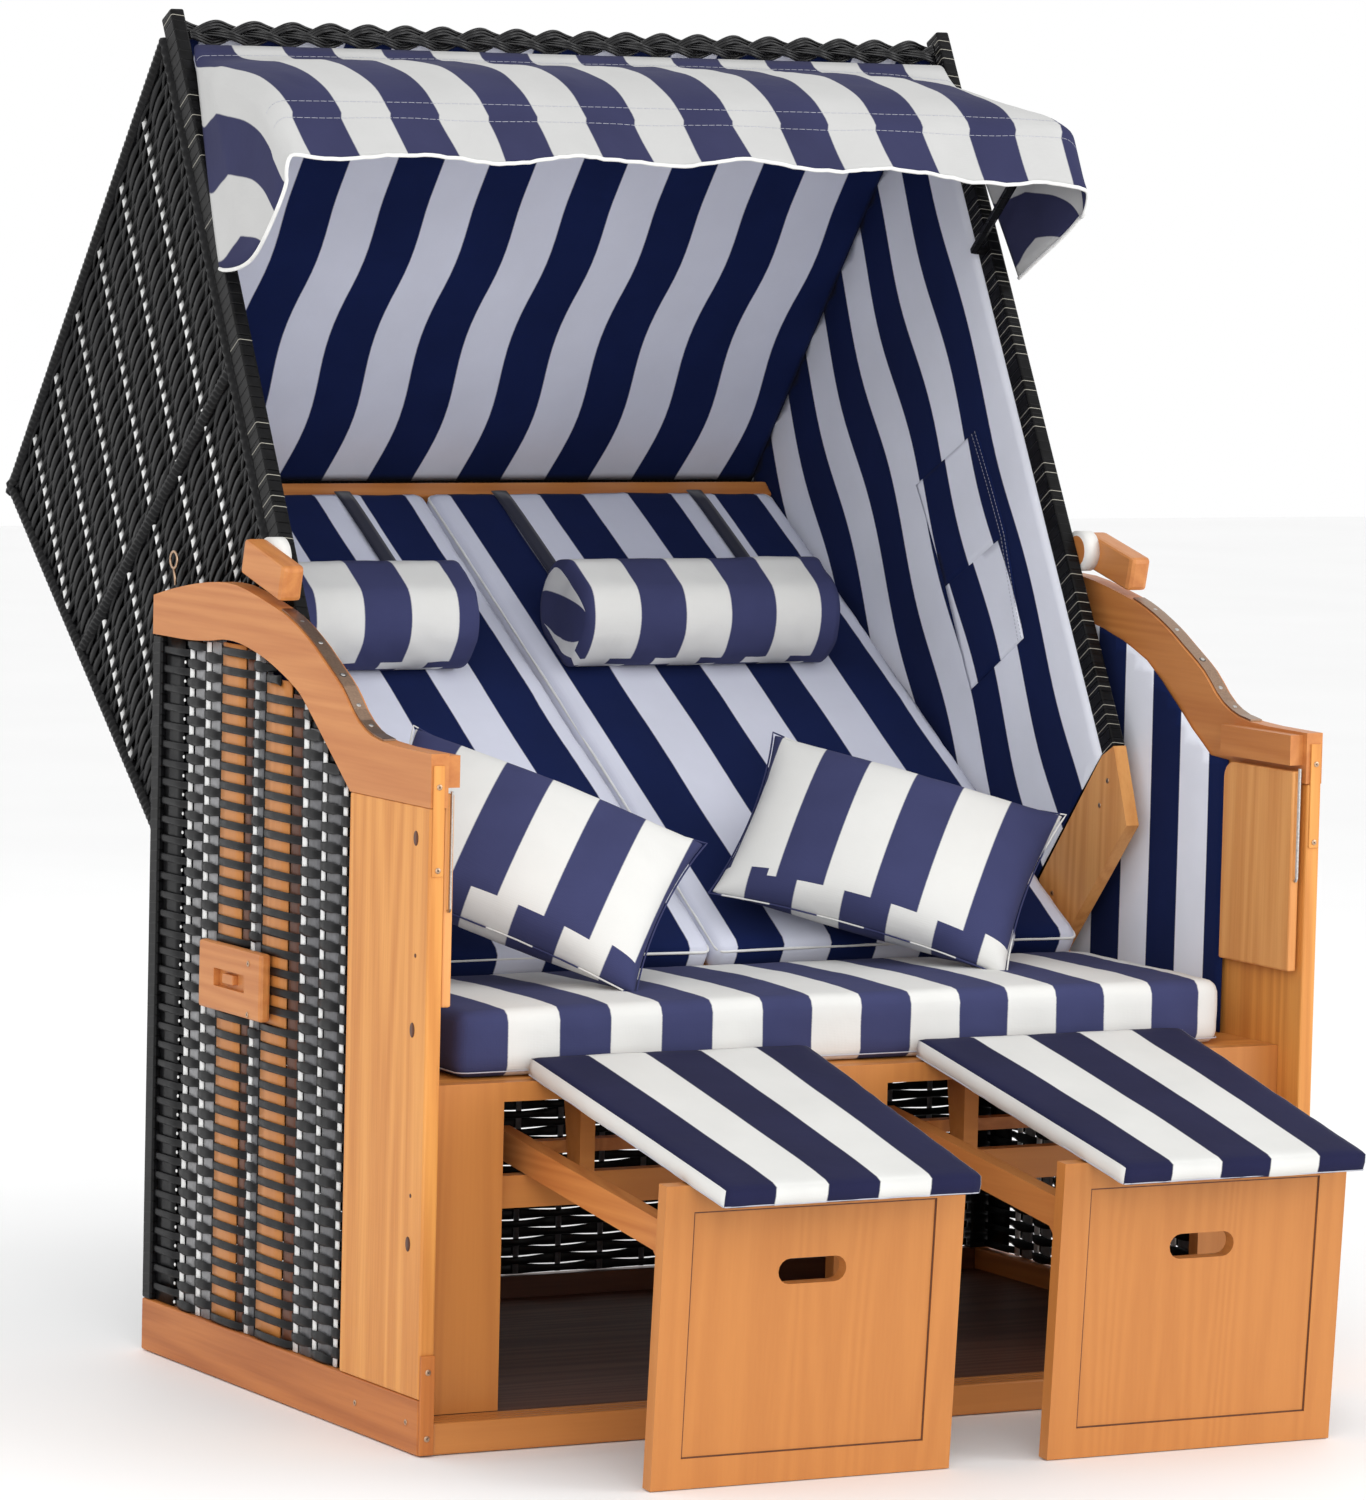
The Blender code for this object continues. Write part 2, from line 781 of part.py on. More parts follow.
def rods_cutter(name, rods):
    """Rods joined to a woven wall: each has a distance from the middle, two upright places and a radius."""
    bm = bmesh.new()
    for across, start, end, radius in rods:
        low = Vector((across, *from_hood(*start)))
        high = Vector((across, *from_hood(*end)))
        rod = rod_mesh(name, radius, (high - low).length, wall_bar_sides)
        turn = (high - low).to_track_quat("X", "Z").to_matrix().to_4x4()
        rod.transform(Matrix.Translation((low + high) / 2) @ turn)
        bm.from_mesh(rod)
        bpy.data.meshes.remove(rod)
    return cutter_from(name, mesh_from(bm, name), Matrix.Identity(4))


def wall_low_up(back):
    """The height of a woven side's lower edge, so far behind the pivot."""
    post_rear = -hood_post_front + hood_post_depth
    if back < foot_rear_back:
        share = (back - post_rear) / (foot_rear_back - post_rear)
        return hood_foot_top + (foot_rear_top - hood_foot_top) * share
    if back < hood_low_back:
        return hood_low_up
    share = (back - hood_low_back) / (hood_corner_back - hood_low_back)
    return hood_low_up + (hood_corner_up - hood_low_up) * share


def add_wall_bars(wall, word, side):
    """The bars along a woven side's edges, its slanting brace and its stakes, which stand out of it."""
    post_rear = -hood_post_front + hood_post_depth
    across = side * (hood_half_width - hood_panel_thickness + clearance + wall_bar_radius)
    inset = wall_bar_radius + clearance
    front = post_rear + clearance + inset
    top = roof_line(inset, front)
    low = back_line(inset, hood_low_up + inset)
    corner = hood_corner(inset)
    brace_rear = back_line(inset, wall_brace_rear_up)
    routes = {
        "post": ((front, hood_foot_top + inset), tuple(top)),
        "roof": (tuple(top), tuple(corner)),
        "back": (tuple(corner), tuple(low)),
        "brace": ((front, wall_brace_front_up), tuple(brace_rear)),
    }
    stakes = []
    stake_across = side * (hood_half_width + stake_rise - stake_radius)
    back = post_rear + stake_start
    while back < hood_corner_back - stake_spacing / 2:
        low_end = (back, wall_low_up(back) + stake_end_gap)
        high_end = (back, roof_line(inset, back).y)
        stakes.append((stake_across, low_end, high_end, stake_radius))
        back += stake_spacing
    join(wall, rods_cutter(f"stakes_{word}", stakes))
    for bar, (start, end) in routes.items():
        join(wall, rods_cutter(f"{bar}_bar_{word}", [(across, start, end, wall_bar_radius)]))


def make_hood_sides():
    post_rear = -hood_post_front + hood_post_depth
    panel_front = post_rear + clearance
    top = roof_line(0, panel_front)
    corner = hood_corner(0)
    low = back_line(0, hood_low_up)
    foot = foot_points()
    panel = [(panel_front, hood_foot_top + panel_gap), tuple(top), tuple(corner), tuple(low),
             (foot_rear_back + panel_gap, hood_low_up), (foot_rear_back + panel_gap, foot_rear_top + panel_gap)]
    skin_offset = hood_panel_thickness + clearance
    skin_top = roof_line(skin_offset, panel_front)
    skin_corner = hood_corner(skin_offset)
    skin_low = back_line(skin_offset, hood_low_up)
    skin = [(panel_front, hood_foot_top + panel_gap), tuple(skin_top), tuple(skin_corner), tuple(skin_low),
            (foot_rear_back + panel_gap, hood_low_up), (foot_rear_back + panel_gap, foot_rear_top + panel_gap)]
    post = [(-hood_post_front, hood_foot_top + clearance), (post_rear, hood_foot_top + clearance),
            (post_rear, hood_post_top), (-hood_post_front, hood_post_top)]
    post_inner = hood_half_width - hood_post_thickness
    panel_inner = hood_half_width - hood_panel_thickness
    lining_outer = panel_inner - clearance
    lining_inner = lining_outer - hood_skin
    pin_reach = half_width - armrest_thickness - lining_thickness - 2 * clearance
    pin_y, pin_z = from_hood(0, 0)
    for word, side in sides.items():
        side_outline(f"hood_post_{word}", [hood_loop(post)], side, post_inner, hood_half_width,
                     "black_wicker", edge_radius)
        wall = side_outline(f"hood_side_{word}", [hood_loop(panel)], side, panel_inner, hood_half_width,
                            "black_wicker")
        add_wall_bars(wall, word, side)
        side_outline(f"hood_lining_{word}", [hood_loop(skin)], side, lining_inner, lining_outer,
                     "white_fabric")
        wood = side_outline(f"hood_foot_{word}", [hood_loop(foot)], side, post_inner, hood_half_width,
                            "pine")
        pin_start = hood_half_width - hood_post_thickness / 2
        pin = rod_mesh(f"pin_{word}", pin_radius, pin_reach - pin_start, spacer_sides)
        place = Matrix.Translation((side * (pin_start + pin_reach) / 2, pin_y, pin_z))
        join(wood, cutter_from(f"pin_{word}", pin, place))


def make_hood_shell():
    half = hood_half_width - hood_panel_thickness - clearance
    front = -hood_post_front + hood_post_depth + clearance
    corner = hood_corner(0)
    corner_in = hood_corner(hood_panel_thickness)
    mitre = unit(corner_in - corner)
    step = Vector((mitre.y, -mitre.x)) * clearance
    roof = [tuple(roof_line(0, front)), tuple(corner), tuple(corner_in),
            tuple(roof_line(hood_panel_thickness, front))]
    back_end = back_line(0, hood_low_up)
    back_end_in = back_line(hood_panel_thickness, hood_low_up)
    shift = step if step.dot(back_direction()) > 0 else -step
    back = [tuple(corner + shift), tuple(back_end), tuple(back_end_in), tuple(corner_in + shift)]
    roof_panel = outline_solid("hood_roof", [hood_loop(roof)], -half, half, "black_wicker")
    back_panel = outline_solid("hood_back", [hood_loop(back)], -half, half, "black_wicker")
    sunk = stake_radius - stake_rise
    shell_spacing = 2 * half / (shell_stake_count + 1)
    roof_top = roof_line(sunk, front) + roof_direction() * shell_stake_end_gap
    roof_low = hood_corner(sunk) - roof_direction() * shell_stake_end_gap
    back_top = hood_corner(sunk) + back_direction() * shell_stake_end_gap
    back_low = back_line(sunk, hood_low_up) - back_direction() * shell_stake_end_gap
    for panel, start, end in ((roof_panel, roof_top, roof_low), (back_panel, back_top, back_low)):
        places = [(number + 1) * shell_spacing - half for number in range(shell_stake_count)]
        stakes = [(across, tuple(start), tuple(end), stake_radius) for across in places]
        join(panel, rods_cutter(panel.name + "_stakes", stakes))
    inner = hood_inner_half()
    skin_start = hood_panel_thickness + clearance
    skin_end = skin_start + hood_skin
    rail_offset = skin_start
    rail_start = hood_corner(rail_offset) + back_direction() * hood_rail_start
    rail_end = rail_start + back_direction() * hood_rail_height
    rail_in = inward(back_direction()) * hood_rail_depth
    rail = [tuple(rail_start), tuple(rail_end), tuple(rail_end + rail_in), tuple(rail_start + rail_in)]
    outline_solid("hood_rail", [hood_loop(rail)], -inner, inner, "pine", radius=edge_radius)
    skin_back = hood_corner(skin_start) - roof_direction() * hood_skin
    skin_back_in = hood_corner(skin_end) - roof_direction() * hood_skin
    skin = [tuple(roof_line(skin_start, front)), tuple(skin_back), tuple(skin_back_in),
            tuple(roof_line(skin_end, front))]
    outline_solid("roof_lining", [hood_loop(skin)], -inner, inner, "white_fabric")
    beam = rod_mesh("top_beam", beam_radius, 2 * inner, beam_sides)
    beam_object = add_object("top_beam", beam, "black_wicker")
    beam_back = -hood_post_front + hood_post_depth - beam_radius
    beam_y, beam_z = from_hood(beam_back, beam_up)
    beam_object.location = (0, beam_y, beam_z)


def backrest_along():
    return Vector((math.cos(backrest_angle), math.sin(backrest_angle)))


def backrest_rear():
    """The normal that points from the sitter into the backrest."""
    along = backrest_along()
    return Vector((along.y, -along.x))


def backrest_point(up, offset):
    """A place on the backrest's front face, moved rearwards by an offset, at a given height."""
    along = backrest_along()
    base = Vector((backrest_base_back, backrest_base_up))
    return base + along * ((up - backrest_base_up) / along.y) + backrest_rear() * offset


def hood_frame(across, place):
    """A matrix whose Y runs up the backrest and whose Z points at the sitter."""
    y, z = from_hood(place.x, place.y)
    angle = backrest_angle - recline
    return Matrix.Translation((across, y, z)) @ Matrix.Rotation(angle, 4, "X")


def make_backrest():
    inner = hood_inner_half()
    along = backrest_along()
    under = back_cushion_thickness + clearance
    length_low = backrest_point(back_cushion_low_up, under)
    length_high = backrest_point(backrest_board_high_up, under)
    rear = backrest_rear() * backrest_board_thickness
    loop = [tuple(length_low), tuple(length_high), tuple(length_high + rear), tuple(length_low + rear)]
    outline_solid("backrest_board", [hood_loop(loop)], -inner, inner, "pine")
    low = backrest_point(back_cushion_low_up, 0)
    high = backrest_point(back_cushion_high_up, 0)
    length = (high - low).length
    cushion_width = inner - back_cushion_side_gap - back_cushion_half_gap
    half = (cushion_width / 2, length / 2, back_cushion_thickness / 2)
    rim = (back_cushion_rim, back_cushion_rim, back_cushion_thickness / 3)
    middle = (low + high) / 2 + backrest_rear() * back_cushion_thickness / 2
    head_half = (head_length / 2, head_height / 2, head_thickness / 2)
    head_middle = (low + along * head_up_along
                   - backrest_rear() * (head_thickness / 2 + back_cushion_crown - head_press))
    for word, side in sides.items():
        cushion = soft_block(f"back_cushion_{word}", half, rim, back_cushion_crown, back_cushion_draw,
                             "navy_stripe")
        cushion.matrix_world = hood_frame(side * (back_cushion_half_gap + cushion_width / 2), middle)
        pillow = soft_block(f"head_pillow_{word}", head_half, (head_rim, head_round, head_round), 0, 0,
                            "navy_stripe")
        pillow.matrix_world = hood_frame(head_centre_shares[word] * hood_half_width, head_middle)


def bow_points():
    """Half of the bow, from its pivot pin forward and round the corner to the middle of the bar."""
    pivot = Vector((bow_pivot_back, bow_pivot_up))
    bar = Vector((bow_bar_back, bow_bar_up))
    pin_start = hood_inner_half() - clearance
    points = [(pin_start, pivot), (bow_half_width, pivot)]
    along = unit(bar - pivot)
    reach = (bar - pivot).length
    start = pivot + along * (reach - bow_corner)
    for step in range(bow_bend_points):
        angle = math.pi / 2 * step / (bow_bend_points - 1)
        points.append((bow_half_width - bow_corner * (1 - math.cos(angle)),
                       start + along * bow_corner * math.sin(angle)))
    return points


def make_bow():
    half = bow_points()
    route = [(across, place) for across, place in half]
    route += [(-across, place) for across, place in reversed(half)]
    curve = bpy.data.curves.new("awning_bow", "CURVE")
    curve.dimensions = "3D"
    curve.bevel_depth = bow_radius
    curve.bevel_resolution = 1
    curve.use_fill_caps = True
    spline = curve.splines.new("POLY")
    spline.points.add(len(route) - 1)
    for point, (across, place) in zip(spline.points, route):
        y, z = from_hood(place.x, place.y)
        point.co = (across, y, z, 1)
    holder = bpy.data.objects.new("awning_bow_route", curve)
    mesh, matrix = curve_to_mesh(holder, "awning_bow")
    mesh.shade_smooth()
    bow = add_object("awning_bow", mesh, "black_wicker")
    bow.matrix_world = matrix


def awning_rows():
    """Rows from the hood's beam over the bow to the free edge, each with its place and two shares.

    The first share runs from the beam to the free edge, and the second from the bow to the free edge.
    """
    start = Vector((awning_start_back, awning_start_up))
    ridge = Vector((awning_ridge_back, awning_ridge_up))
    edge = Vector((awning_edge_back, awning_edge_up))
    top_length = (ridge - start).length
    front_length = (edge - ridge).length
    ridge_share = top_length / (top_length + front_length)
    outwards = inward(unit(ridge - start))
    rows = []
    for step in range(awning_top_rows):
        part = step / awning_top_rows
        rise = outwards * awning_crown * math.sin(math.pi * part)
        rows.append((start.lerp(ridge, part) + rise, part * ridge_share, 0))
    for step in range(awning_front_rows + 1):
        part = step / awning_front_rows
        rows.append((ridge.lerp(edge, part), ridge_share + part * (1 - ridge_share), part))
    return rows


def make_awning():
    bm = bmesh.new()
    tip = Vector((awning_tip_back, awning_tip_up))
    front_low = Vector((awning_front_low_back, awning_front_low_up))
    columns = []
    for step in range(awning_flap_rows, 0, -1):
        columns.append((-1, step / awning_flap_rows))
    for step in range(awning_columns + 1):
        columns.append((2 * step / awning_columns - 1, 0))
    for step in range(1, awning_flap_rows + 1):
        columns.append((1, step / awning_flap_rows))
    grid = []
    for top, share, front_share in awning_rows():
        low = tip.lerp(front_low, share)
        line = []
        for across, drop in columns:
            place = top.lerp(low, drop)
            wave = math.sin(math.pi * awning_wave_count * across) * awning_wave * front_share * (1 - drop)
            y, z = from_hood(place.x, place.y)
            line.append(bm.verts.new((across * awning_side, y, z + wave)))
        grid.append(line)
    for first, second in zip(grid, grid[1:]):
        for index in range(len(columns) - 1):
            bm.faces.new((first[index], second[index], second[index + 1], first[index + 1]))
    bmesh.ops.recalc_face_normals(bm, faces=bm.faces)
    mesh = mesh_from(bm, "awning")
    mesh.shade_smooth()
    awning = add_object("awning", mesh, "white_fabric")
    skin = awning.modifiers.new("cloth_thickness", "SOLIDIFY")
    skin.thickness = awning_thickness
    skin.offset = 0


def lever_centre():
    """The middle of a lever, just above the armrest's highest part."""
    return Vector((from_front(pivot_behind - lever_pivot_gap),
                   armrest_front_top + armrest_rise + lever_armrest_gap))


def lever_pivot():
    along = lever_pivot_share * lever_length
    centre = lever_centre()
    return centre.x + along * math.cos(lever_tilt), centre.y + along * math.sin(lever_tilt)


def make_levers():
    outer = half_width
    inner = half_width - lever_width
    half_length = lever_length / 2
    half_height = lever_height / 2
    centre = lever_centre()
    along = Vector((math.cos(lever_tilt), math.sin(lever_tilt)))
    normal = Vector((-along.y, along.x))
    loop = [tuple(centre + along * (sign_a * half_length) + normal * (sign_b * half_height))
            for sign_a, sign_b in ((-1, -1), (1, -1), (1, 1), (-1, 1))]
    pivot_y, pivot_z = lever_pivot()
    spacer_start = hood_half_width + clearance
    spacer_end = inner + lever_width / 4
    for word, side in sides.items():
        lever = side_outline(f"lock_lever_{word}", [loop], side, inner, outer, "armrest_wood", lever_radius)
        spacer = rod_mesh(f"spacer_{word}", spacer_radius, spacer_end - spacer_start, spacer_sides)
        place = Matrix.Translation((side * (spacer_start + spacer_end) / 2, pivot_y, pivot_z))
        join(lever, cutter_from(f"spacer_{word}", spacer, place))


def rounded_slot(middle_x, middle_z, length, height, steps):
    radius = height / 2
    straight = length / 2 - radius
    points = []
    for turn, sign in ((-math.pi / 2, 1), (math.pi / 2, -1)):
        for step in range(steps + 1):
            angle = turn + math.pi * step / steps
            points.append((middle_x + sign * straight + radius * math.cos(angle),
                           middle_z + radius * math.sin(angle)))
    return points


def make_footrests():
    slope = math.tan(slide_slope)
    foot_y = from_front(footrest_behind)
    lean = Matrix.Rotation(footrest_lean, 4, "X")
    arm_under_at_rail = slide_rail_top + clearance + board * slope
    arm_rear_y = from_front(arm_rear)
    rail_y = from_front(slide_rail_front)
    panel_back = foot_y + footrest_thickness
    arm_front_y = panel_back + clearance
    arm_front_low = arm_under_at_rail + (arm_front_y - rail_y) * slope
    lean_back = math.tan(footrest_lean)
    arm_rear_low = arm_under_at_rail + (arm_rear_y - rail_y) * slope
    for word, side in sides.items():
        centre = side * footrest_centre
        low = centre - footrest_width / 2
        high = centre + footrest_width / 2
        frame = [(low, 0), (high, 0), (high, footrest_height), (low, footrest_height)]
        slot = rounded_slot(centre, slot_above_floor, slot_length, slot_height, slot_steps)
        mesh, matrix = outline_mesh(f"footrest_panel_{word}", [frame, slot], footrest_thickness, "xz",
                                    footrest_thickness / 2)
        panel = add_object(f"footrest_panel_{word}", mesh, "pine")
        place = Matrix.Translation((0, foot_y, 0)) @ lean
        panel.matrix_world = place @ matrix
        field_mesh = box_mesh(f"field_{word}", (low + field_side, -cut_overrun, field_bottom),
                              (high - field_side, field_depth, footrest_height - field_top))
        field_middle = Matrix.Translation(
            (centre, (field_depth - cut_overrun) / 2, (footrest_height - field_top + field_bottom) / 2))
        cut(panel, cutter_from(f"field_{word}", field_mesh, place @ field_middle))
        front_low_y = arm_front_y - arm_front_low * lean_back
        front_top = arm_front_low + arm_height
        front_top_y = arm_front_y - front_top * lean_back
        gusset_z = arm_front_low - gusset_height
        gusset_y = arm_front_y - gusset_z * lean_back
        gusset_rear = arm_front_y + gusset_length
        gusset_rear_z = arm_front_low + gusset_length * slope
        arm = [(front_top_y, front_top), (gusset_y, gusset_z), (gusset_rear, gusset_rear_z),
               (arm_rear_y, arm_rear_low), (arm_rear_y, arm_rear_low + arm_height)]
        arm_middle = centre - arm_spacing
        frame_mesh, frame_matrix = outline_mesh(f"footrest_frame_{word}", [arm], board, "yz", arm_middle)
        rack = add_object(f"footrest_frame_{word}", frame_mesh, "armrest_wood")
        rack.matrix_world = frame_matrix
        other_mesh, other_matrix = outline_mesh(f"other_arm_{word}", [arm], board, "yz",
                                                centre + arm_spacing)
        join(rack, cutter_from(f"other_arm_{word}", other_mesh, other_matrix))
        bar_top = arm_rear_low + arm_height / 2
        bar = box_cutter(f"cross_bar_{word}",
                         (centre - arm_spacing, arm_rear_y - cross_bar_depth - edge_radius,
                          arm_rear_low + edge_radius),
                         (centre + arm_spacing, arm_rear_y - edge_radius, bar_top))
        join(rack, bar)


def pad_rear_corner():
    """The rear lower edge of a pad, whose board rests on the front edge of the seat rail."""
    along = Vector((math.cos(pad_slope), math.sin(pad_slope)))
    rail_corner = Vector((from_front(frame_setback), seat_board_top + clearance))
    return rail_corner + along * ((from_front(pad_rear) - rail_corner.x) / along.x)


def pad_hinge():
    """The sewn hinge along the rear top edge of a pad."""
    normal = Vector((-math.sin(pad_slope), math.cos(pad_slope)))
    return tuple(pad_rear_corner() + normal * (pad_board_thickness + clearance + pad_thickness))


def make_footrest_pads():
    along = Vector((math.cos(pad_slope), math.sin(pad_slope)))
    normal = Vector((-along.y, along.x))
    rear = pad_rear_corner()
    front = rear - along * pad_length
    inset = pad_board_inset
    board_loop = [tuple(rear - along * inset), tuple(front + along * inset),
                  tuple(front + along * inset + normal * pad_board_thickness),
                  tuple(rear - along * inset + normal * pad_board_thickness)]
    half = (pad_width / 2, pad_length / 2, pad_thickness / 2)
    rim = (pad_rim, pad_rim, pad_thickness / 3)
    middle = (rear + front) / 2 + normal * (pad_board_thickness + clearance + pad_thickness / 2)
    for word, side in sides.items():
        centre = side * footrest_centre
        outline_solid(f"footrest_board_{word}", [board_loop], centre - pad_width / 2 + inset,
                      centre + pad_width / 2 - inset, "pine")
        pad = soft_block(f"footrest_pad_{word}", half, rim, pad_crown, pad_draw, "navy_stripe")
        pad.matrix_world = (Matrix.Translation((centre, middle.x, middle.y))
                            @ Matrix.Rotation(pad_slope, 4, "X"))


def make_tables():
    outer = half_width - armrest_thickness - table_side_clearance
    inner = outer - table_thickness
    front = from_front(table_front)
    rear = front + table_depth
    top = table_bottom + table_height
    corner = [(rear - table_corner + table_corner * math.sin(math.pi / 2 * step / slot_steps),
               top - table_corner + table_corner * math.cos(math.pi / 2 * step / slot_steps))
              for step in range(slot_steps + 1)]
    outline = [(front, table_bottom), (front, top)] + corner + [(rear, table_bottom)]
    pin_z = top - brace_drop
    middle = (inner + outer) / 2
    rod_y = front - 2 * brace_radius - clearance
    for word, side in sides.items():
        side_outline(f"table_{word}", [outline], side, inner, outer, "armrest_wood", edge_radius)
        curve = bpy.data.curves.new(f"table_brace_{word}", "CURVE")
        curve.dimensions = "3D"
        curve.bevel_depth = brace_radius
        curve.bevel_resolution = brace_sides_resolution
        curve.use_fill_caps = True
        spline = curve.splines.new("POLY")
        route = [(side * middle, front - clearance, pin_z), (side * middle, rod_y + brace_bend / 2, pin_z),
                 (side * middle, rod_y, pin_z + brace_bend), (side * middle, rod_y, pin_z + brace_length)]
        spline.points.add(len(route) - 1)
        for point, place in zip(spline.points, route):
            point.co = (*place, 1)
        holder = bpy.data.objects.new(f"brace_route_{word}", curve)
        mesh, matrix = curve_to_mesh(holder, f"table_brace_{word}")
        rod = add_object(f"table_brace_{word}", mesh, "steel")
        rod.matrix_world = matrix


def hang(joint_name, place, names):
    """Parent the named pieces to an empty on their joint's axis."""
    pivot = bpy.data.objects.new(joint_name, None)
    parts.objects.link(pivot)
    pivot.location = place
    bpy.context.view_layer.update()
    for name in names:
        piece = bpy.data.objects[name]
        piece.parent = pivot
        piece.matrix_parent_inverse = pivot.matrix_world.inverted()
    return pivot


def make_joints():
    pivot_y, pivot_z = from_hood(0, 0)
    hood_names = ["hood_roof", "hood_back", "hood_rail", "roof_lining", "top_beam", "backrest_board",
                  "awning"]
    for stem in ("hood_post", "hood_side", "hood_lining", "hood_foot", "back_cushion", "head_pillow"):
        hood_names += [f"{stem}_{word}" for word in sides]
    hood = hang("hood_pivot", (0, pivot_y, pivot_z), hood_names)
    bow_y, bow_z = from_hood(bow_pivot_back, bow_pivot_up)
    bow = hang("bow_pivot", (0, bow_y, bow_z), ["awning_bow"])
    lever_y, lever_z = lever_pivot()
    followers = [bow]
    pad_y, pad_z = pad_hinge()
    outer = half_width - armrest_thickness - table_side_clearance
    table_middle = outer - table_thickness / 2
    table_top = table_bottom + table_height
    for word, side in sides.items():
        followers.append(hang(f"lever_pivot_{word}", (side * half_width, lever_y, lever_z),
                              [f"lock_lever_{word}"]))
        centre = side * footrest_centre
        hang(f"footrest_slide_{word}", (centre, from_front(footrest_behind), 0),
             [f"footrest_panel_{word}", f"footrest_frame_{word}"])
        hang(f"pad_hinge_{word}", (centre, pad_y, pad_z),
             [f"footrest_board_{word}", f"footrest_pad_{word}"])
        table = hang(f"table_hinge_{word}", (side * table_middle, from_front(table_front), table_top),
                     [f"table_{word}"])
        brace = hang(f"brace_pin_{word}",
                     (side * table_middle, from_front(table_front), table_top - brace_drop),
                     [f"table_brace_{word}"])
        brace.parent = table
        brace.matrix_parent_inverse = table.matrix_world.inverted()
    for pivot in followers:
        pivot.parent = hood
        pivot.matrix_parent_inverse = hood.matrix_world.inverted()


make_base_frame()
make_armrests()
make_carrying_plates()
make_front_frame()
make_seat_cushion()
make_throw_pillows()
make_hood_sides()
make_hood_shell()
make_backrest()
make_bow()
make_awning()
make_levers()
make_footrests()
make_footrest_pads()
make_tables()
make_joints()
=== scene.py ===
import math

import bmesh
import bpy
import numpy as np
from mathutils import Matrix, Vector, noise


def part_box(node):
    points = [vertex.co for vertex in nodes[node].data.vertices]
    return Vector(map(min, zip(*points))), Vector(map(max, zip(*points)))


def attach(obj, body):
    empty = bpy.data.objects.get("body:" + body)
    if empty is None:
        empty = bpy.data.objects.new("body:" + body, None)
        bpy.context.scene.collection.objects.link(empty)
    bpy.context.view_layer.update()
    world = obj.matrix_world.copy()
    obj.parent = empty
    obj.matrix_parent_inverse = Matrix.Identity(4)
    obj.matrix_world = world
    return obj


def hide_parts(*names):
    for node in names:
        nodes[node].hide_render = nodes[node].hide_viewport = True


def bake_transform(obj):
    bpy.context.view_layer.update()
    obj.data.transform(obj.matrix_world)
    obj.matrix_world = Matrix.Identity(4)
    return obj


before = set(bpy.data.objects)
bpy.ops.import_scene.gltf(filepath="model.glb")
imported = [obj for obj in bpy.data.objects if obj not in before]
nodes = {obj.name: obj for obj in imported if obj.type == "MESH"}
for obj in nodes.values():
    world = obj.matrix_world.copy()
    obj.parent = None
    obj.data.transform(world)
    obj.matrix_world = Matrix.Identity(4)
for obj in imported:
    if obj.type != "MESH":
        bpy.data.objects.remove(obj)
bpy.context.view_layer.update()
sides = {"left": -1, "right": 1}
print("chair frame loaded")

# main places of the chair, in metres, measured from the front of its sides
chair = {
    "halfWidth": 0.59, "depth": 0.751, "pivotBehind": 0.490, "pivotHeight": 0.515,
    "recline": math.radians(28.55), "seatTop": 0.410, "hoodHalfWidth": 0.543,
    "postFront": -0.2208, "postDepth": 0.030, "postTop": 1.130, "footTop": 0.138,
    "corner": (0.4854, 0.830), "low": (0.158, -0.020), "weaveThickness": 0.014,
}


def fromFront(distance):
    return distance - chair["depth"] / 2


def fromHood(back, up):
    # upright place in the hood -> Y and Z with the hood reclined
    c, s = math.cos(chair["recline"]), math.sin(chair["recline"])
    return fromFront(chair["pivotBehind"]) + back * c + up * s, chair["pivotHeight"] - back * s + up * c


# camera at the photograph's place
camera = {"place": (-4.142, -7.4685, 1.497), "yaw": 28.61, "pitch": 5.03, "roll": 1.36, "focal": 7190,
          "frameHeight": 1500}


def placeCamera():
    yaw, pitch, roll = (math.radians(camera[k]) for k in ("yaw", "pitch", "roll"))
    ahead = Vector((math.sin(yaw) * math.cos(pitch), math.cos(yaw) * math.cos(pitch), -math.sin(pitch)))
    right = Vector((math.cos(yaw), -math.sin(yaw), 0))
    up = right.cross(ahead)
    right2 = right * math.cos(roll) + up * math.sin(roll)
    up2 = up * math.cos(roll) - right * math.sin(roll)
    data = bpy.data.cameras.new("photoView")
    data.sensor_width = 36
    data.lens = camera["focal"] * data.sensor_width / camera["frameHeight"]
    data.clip_start = 0.1
    data.clip_end = 60
    obj = bpy.data.objects.new("photoView", data)
    bpy.context.scene.collection.objects.link(obj)
    turn = Matrix((right2, up2, -ahead)).transposed().to_4x4()
    obj.matrix_world = Matrix.Translation(camera["place"]) @ turn
    bpy.context.scene.camera = obj


placeCamera()


# materials, made from nodes
def put(tree, kind, inputs=None, **settings):
    node = tree.nodes.new(kind)
    for key, value in settings.items():
        setattr(node, key, value)
    for key, value in (inputs or {}).items():
        if isinstance(value, bpy.types.NodeSocket):
            tree.links.new(value, node.inputs[key])
        else:
            node.inputs[key].default_value = value
    return node


def startMaterial(name, roughness=0.5, metallic=0.0):
    mat = bpy.data.materials.new(name)
    mat.use_nodes = True
    tree = mat.node_tree
    shader = tree.nodes["Principled BSDF"]
    shader.inputs["Roughness"].default_value = roughness
    shader.inputs["Metallic"].default_value = metallic
    return mat, tree, shader


def ramp(tree, value, stops):
    node = put(tree, "ShaderNodeValToRGB", {"Fac": value})
    band = node.color_ramp
    while len(band.elements) < len(stops):
        band.elements.new(0.5)
    for element, (place, colour) in zip(band.elements, stops):
        element.position = place
        element.color = (*colour, 1)
    return node.outputs["Color"]


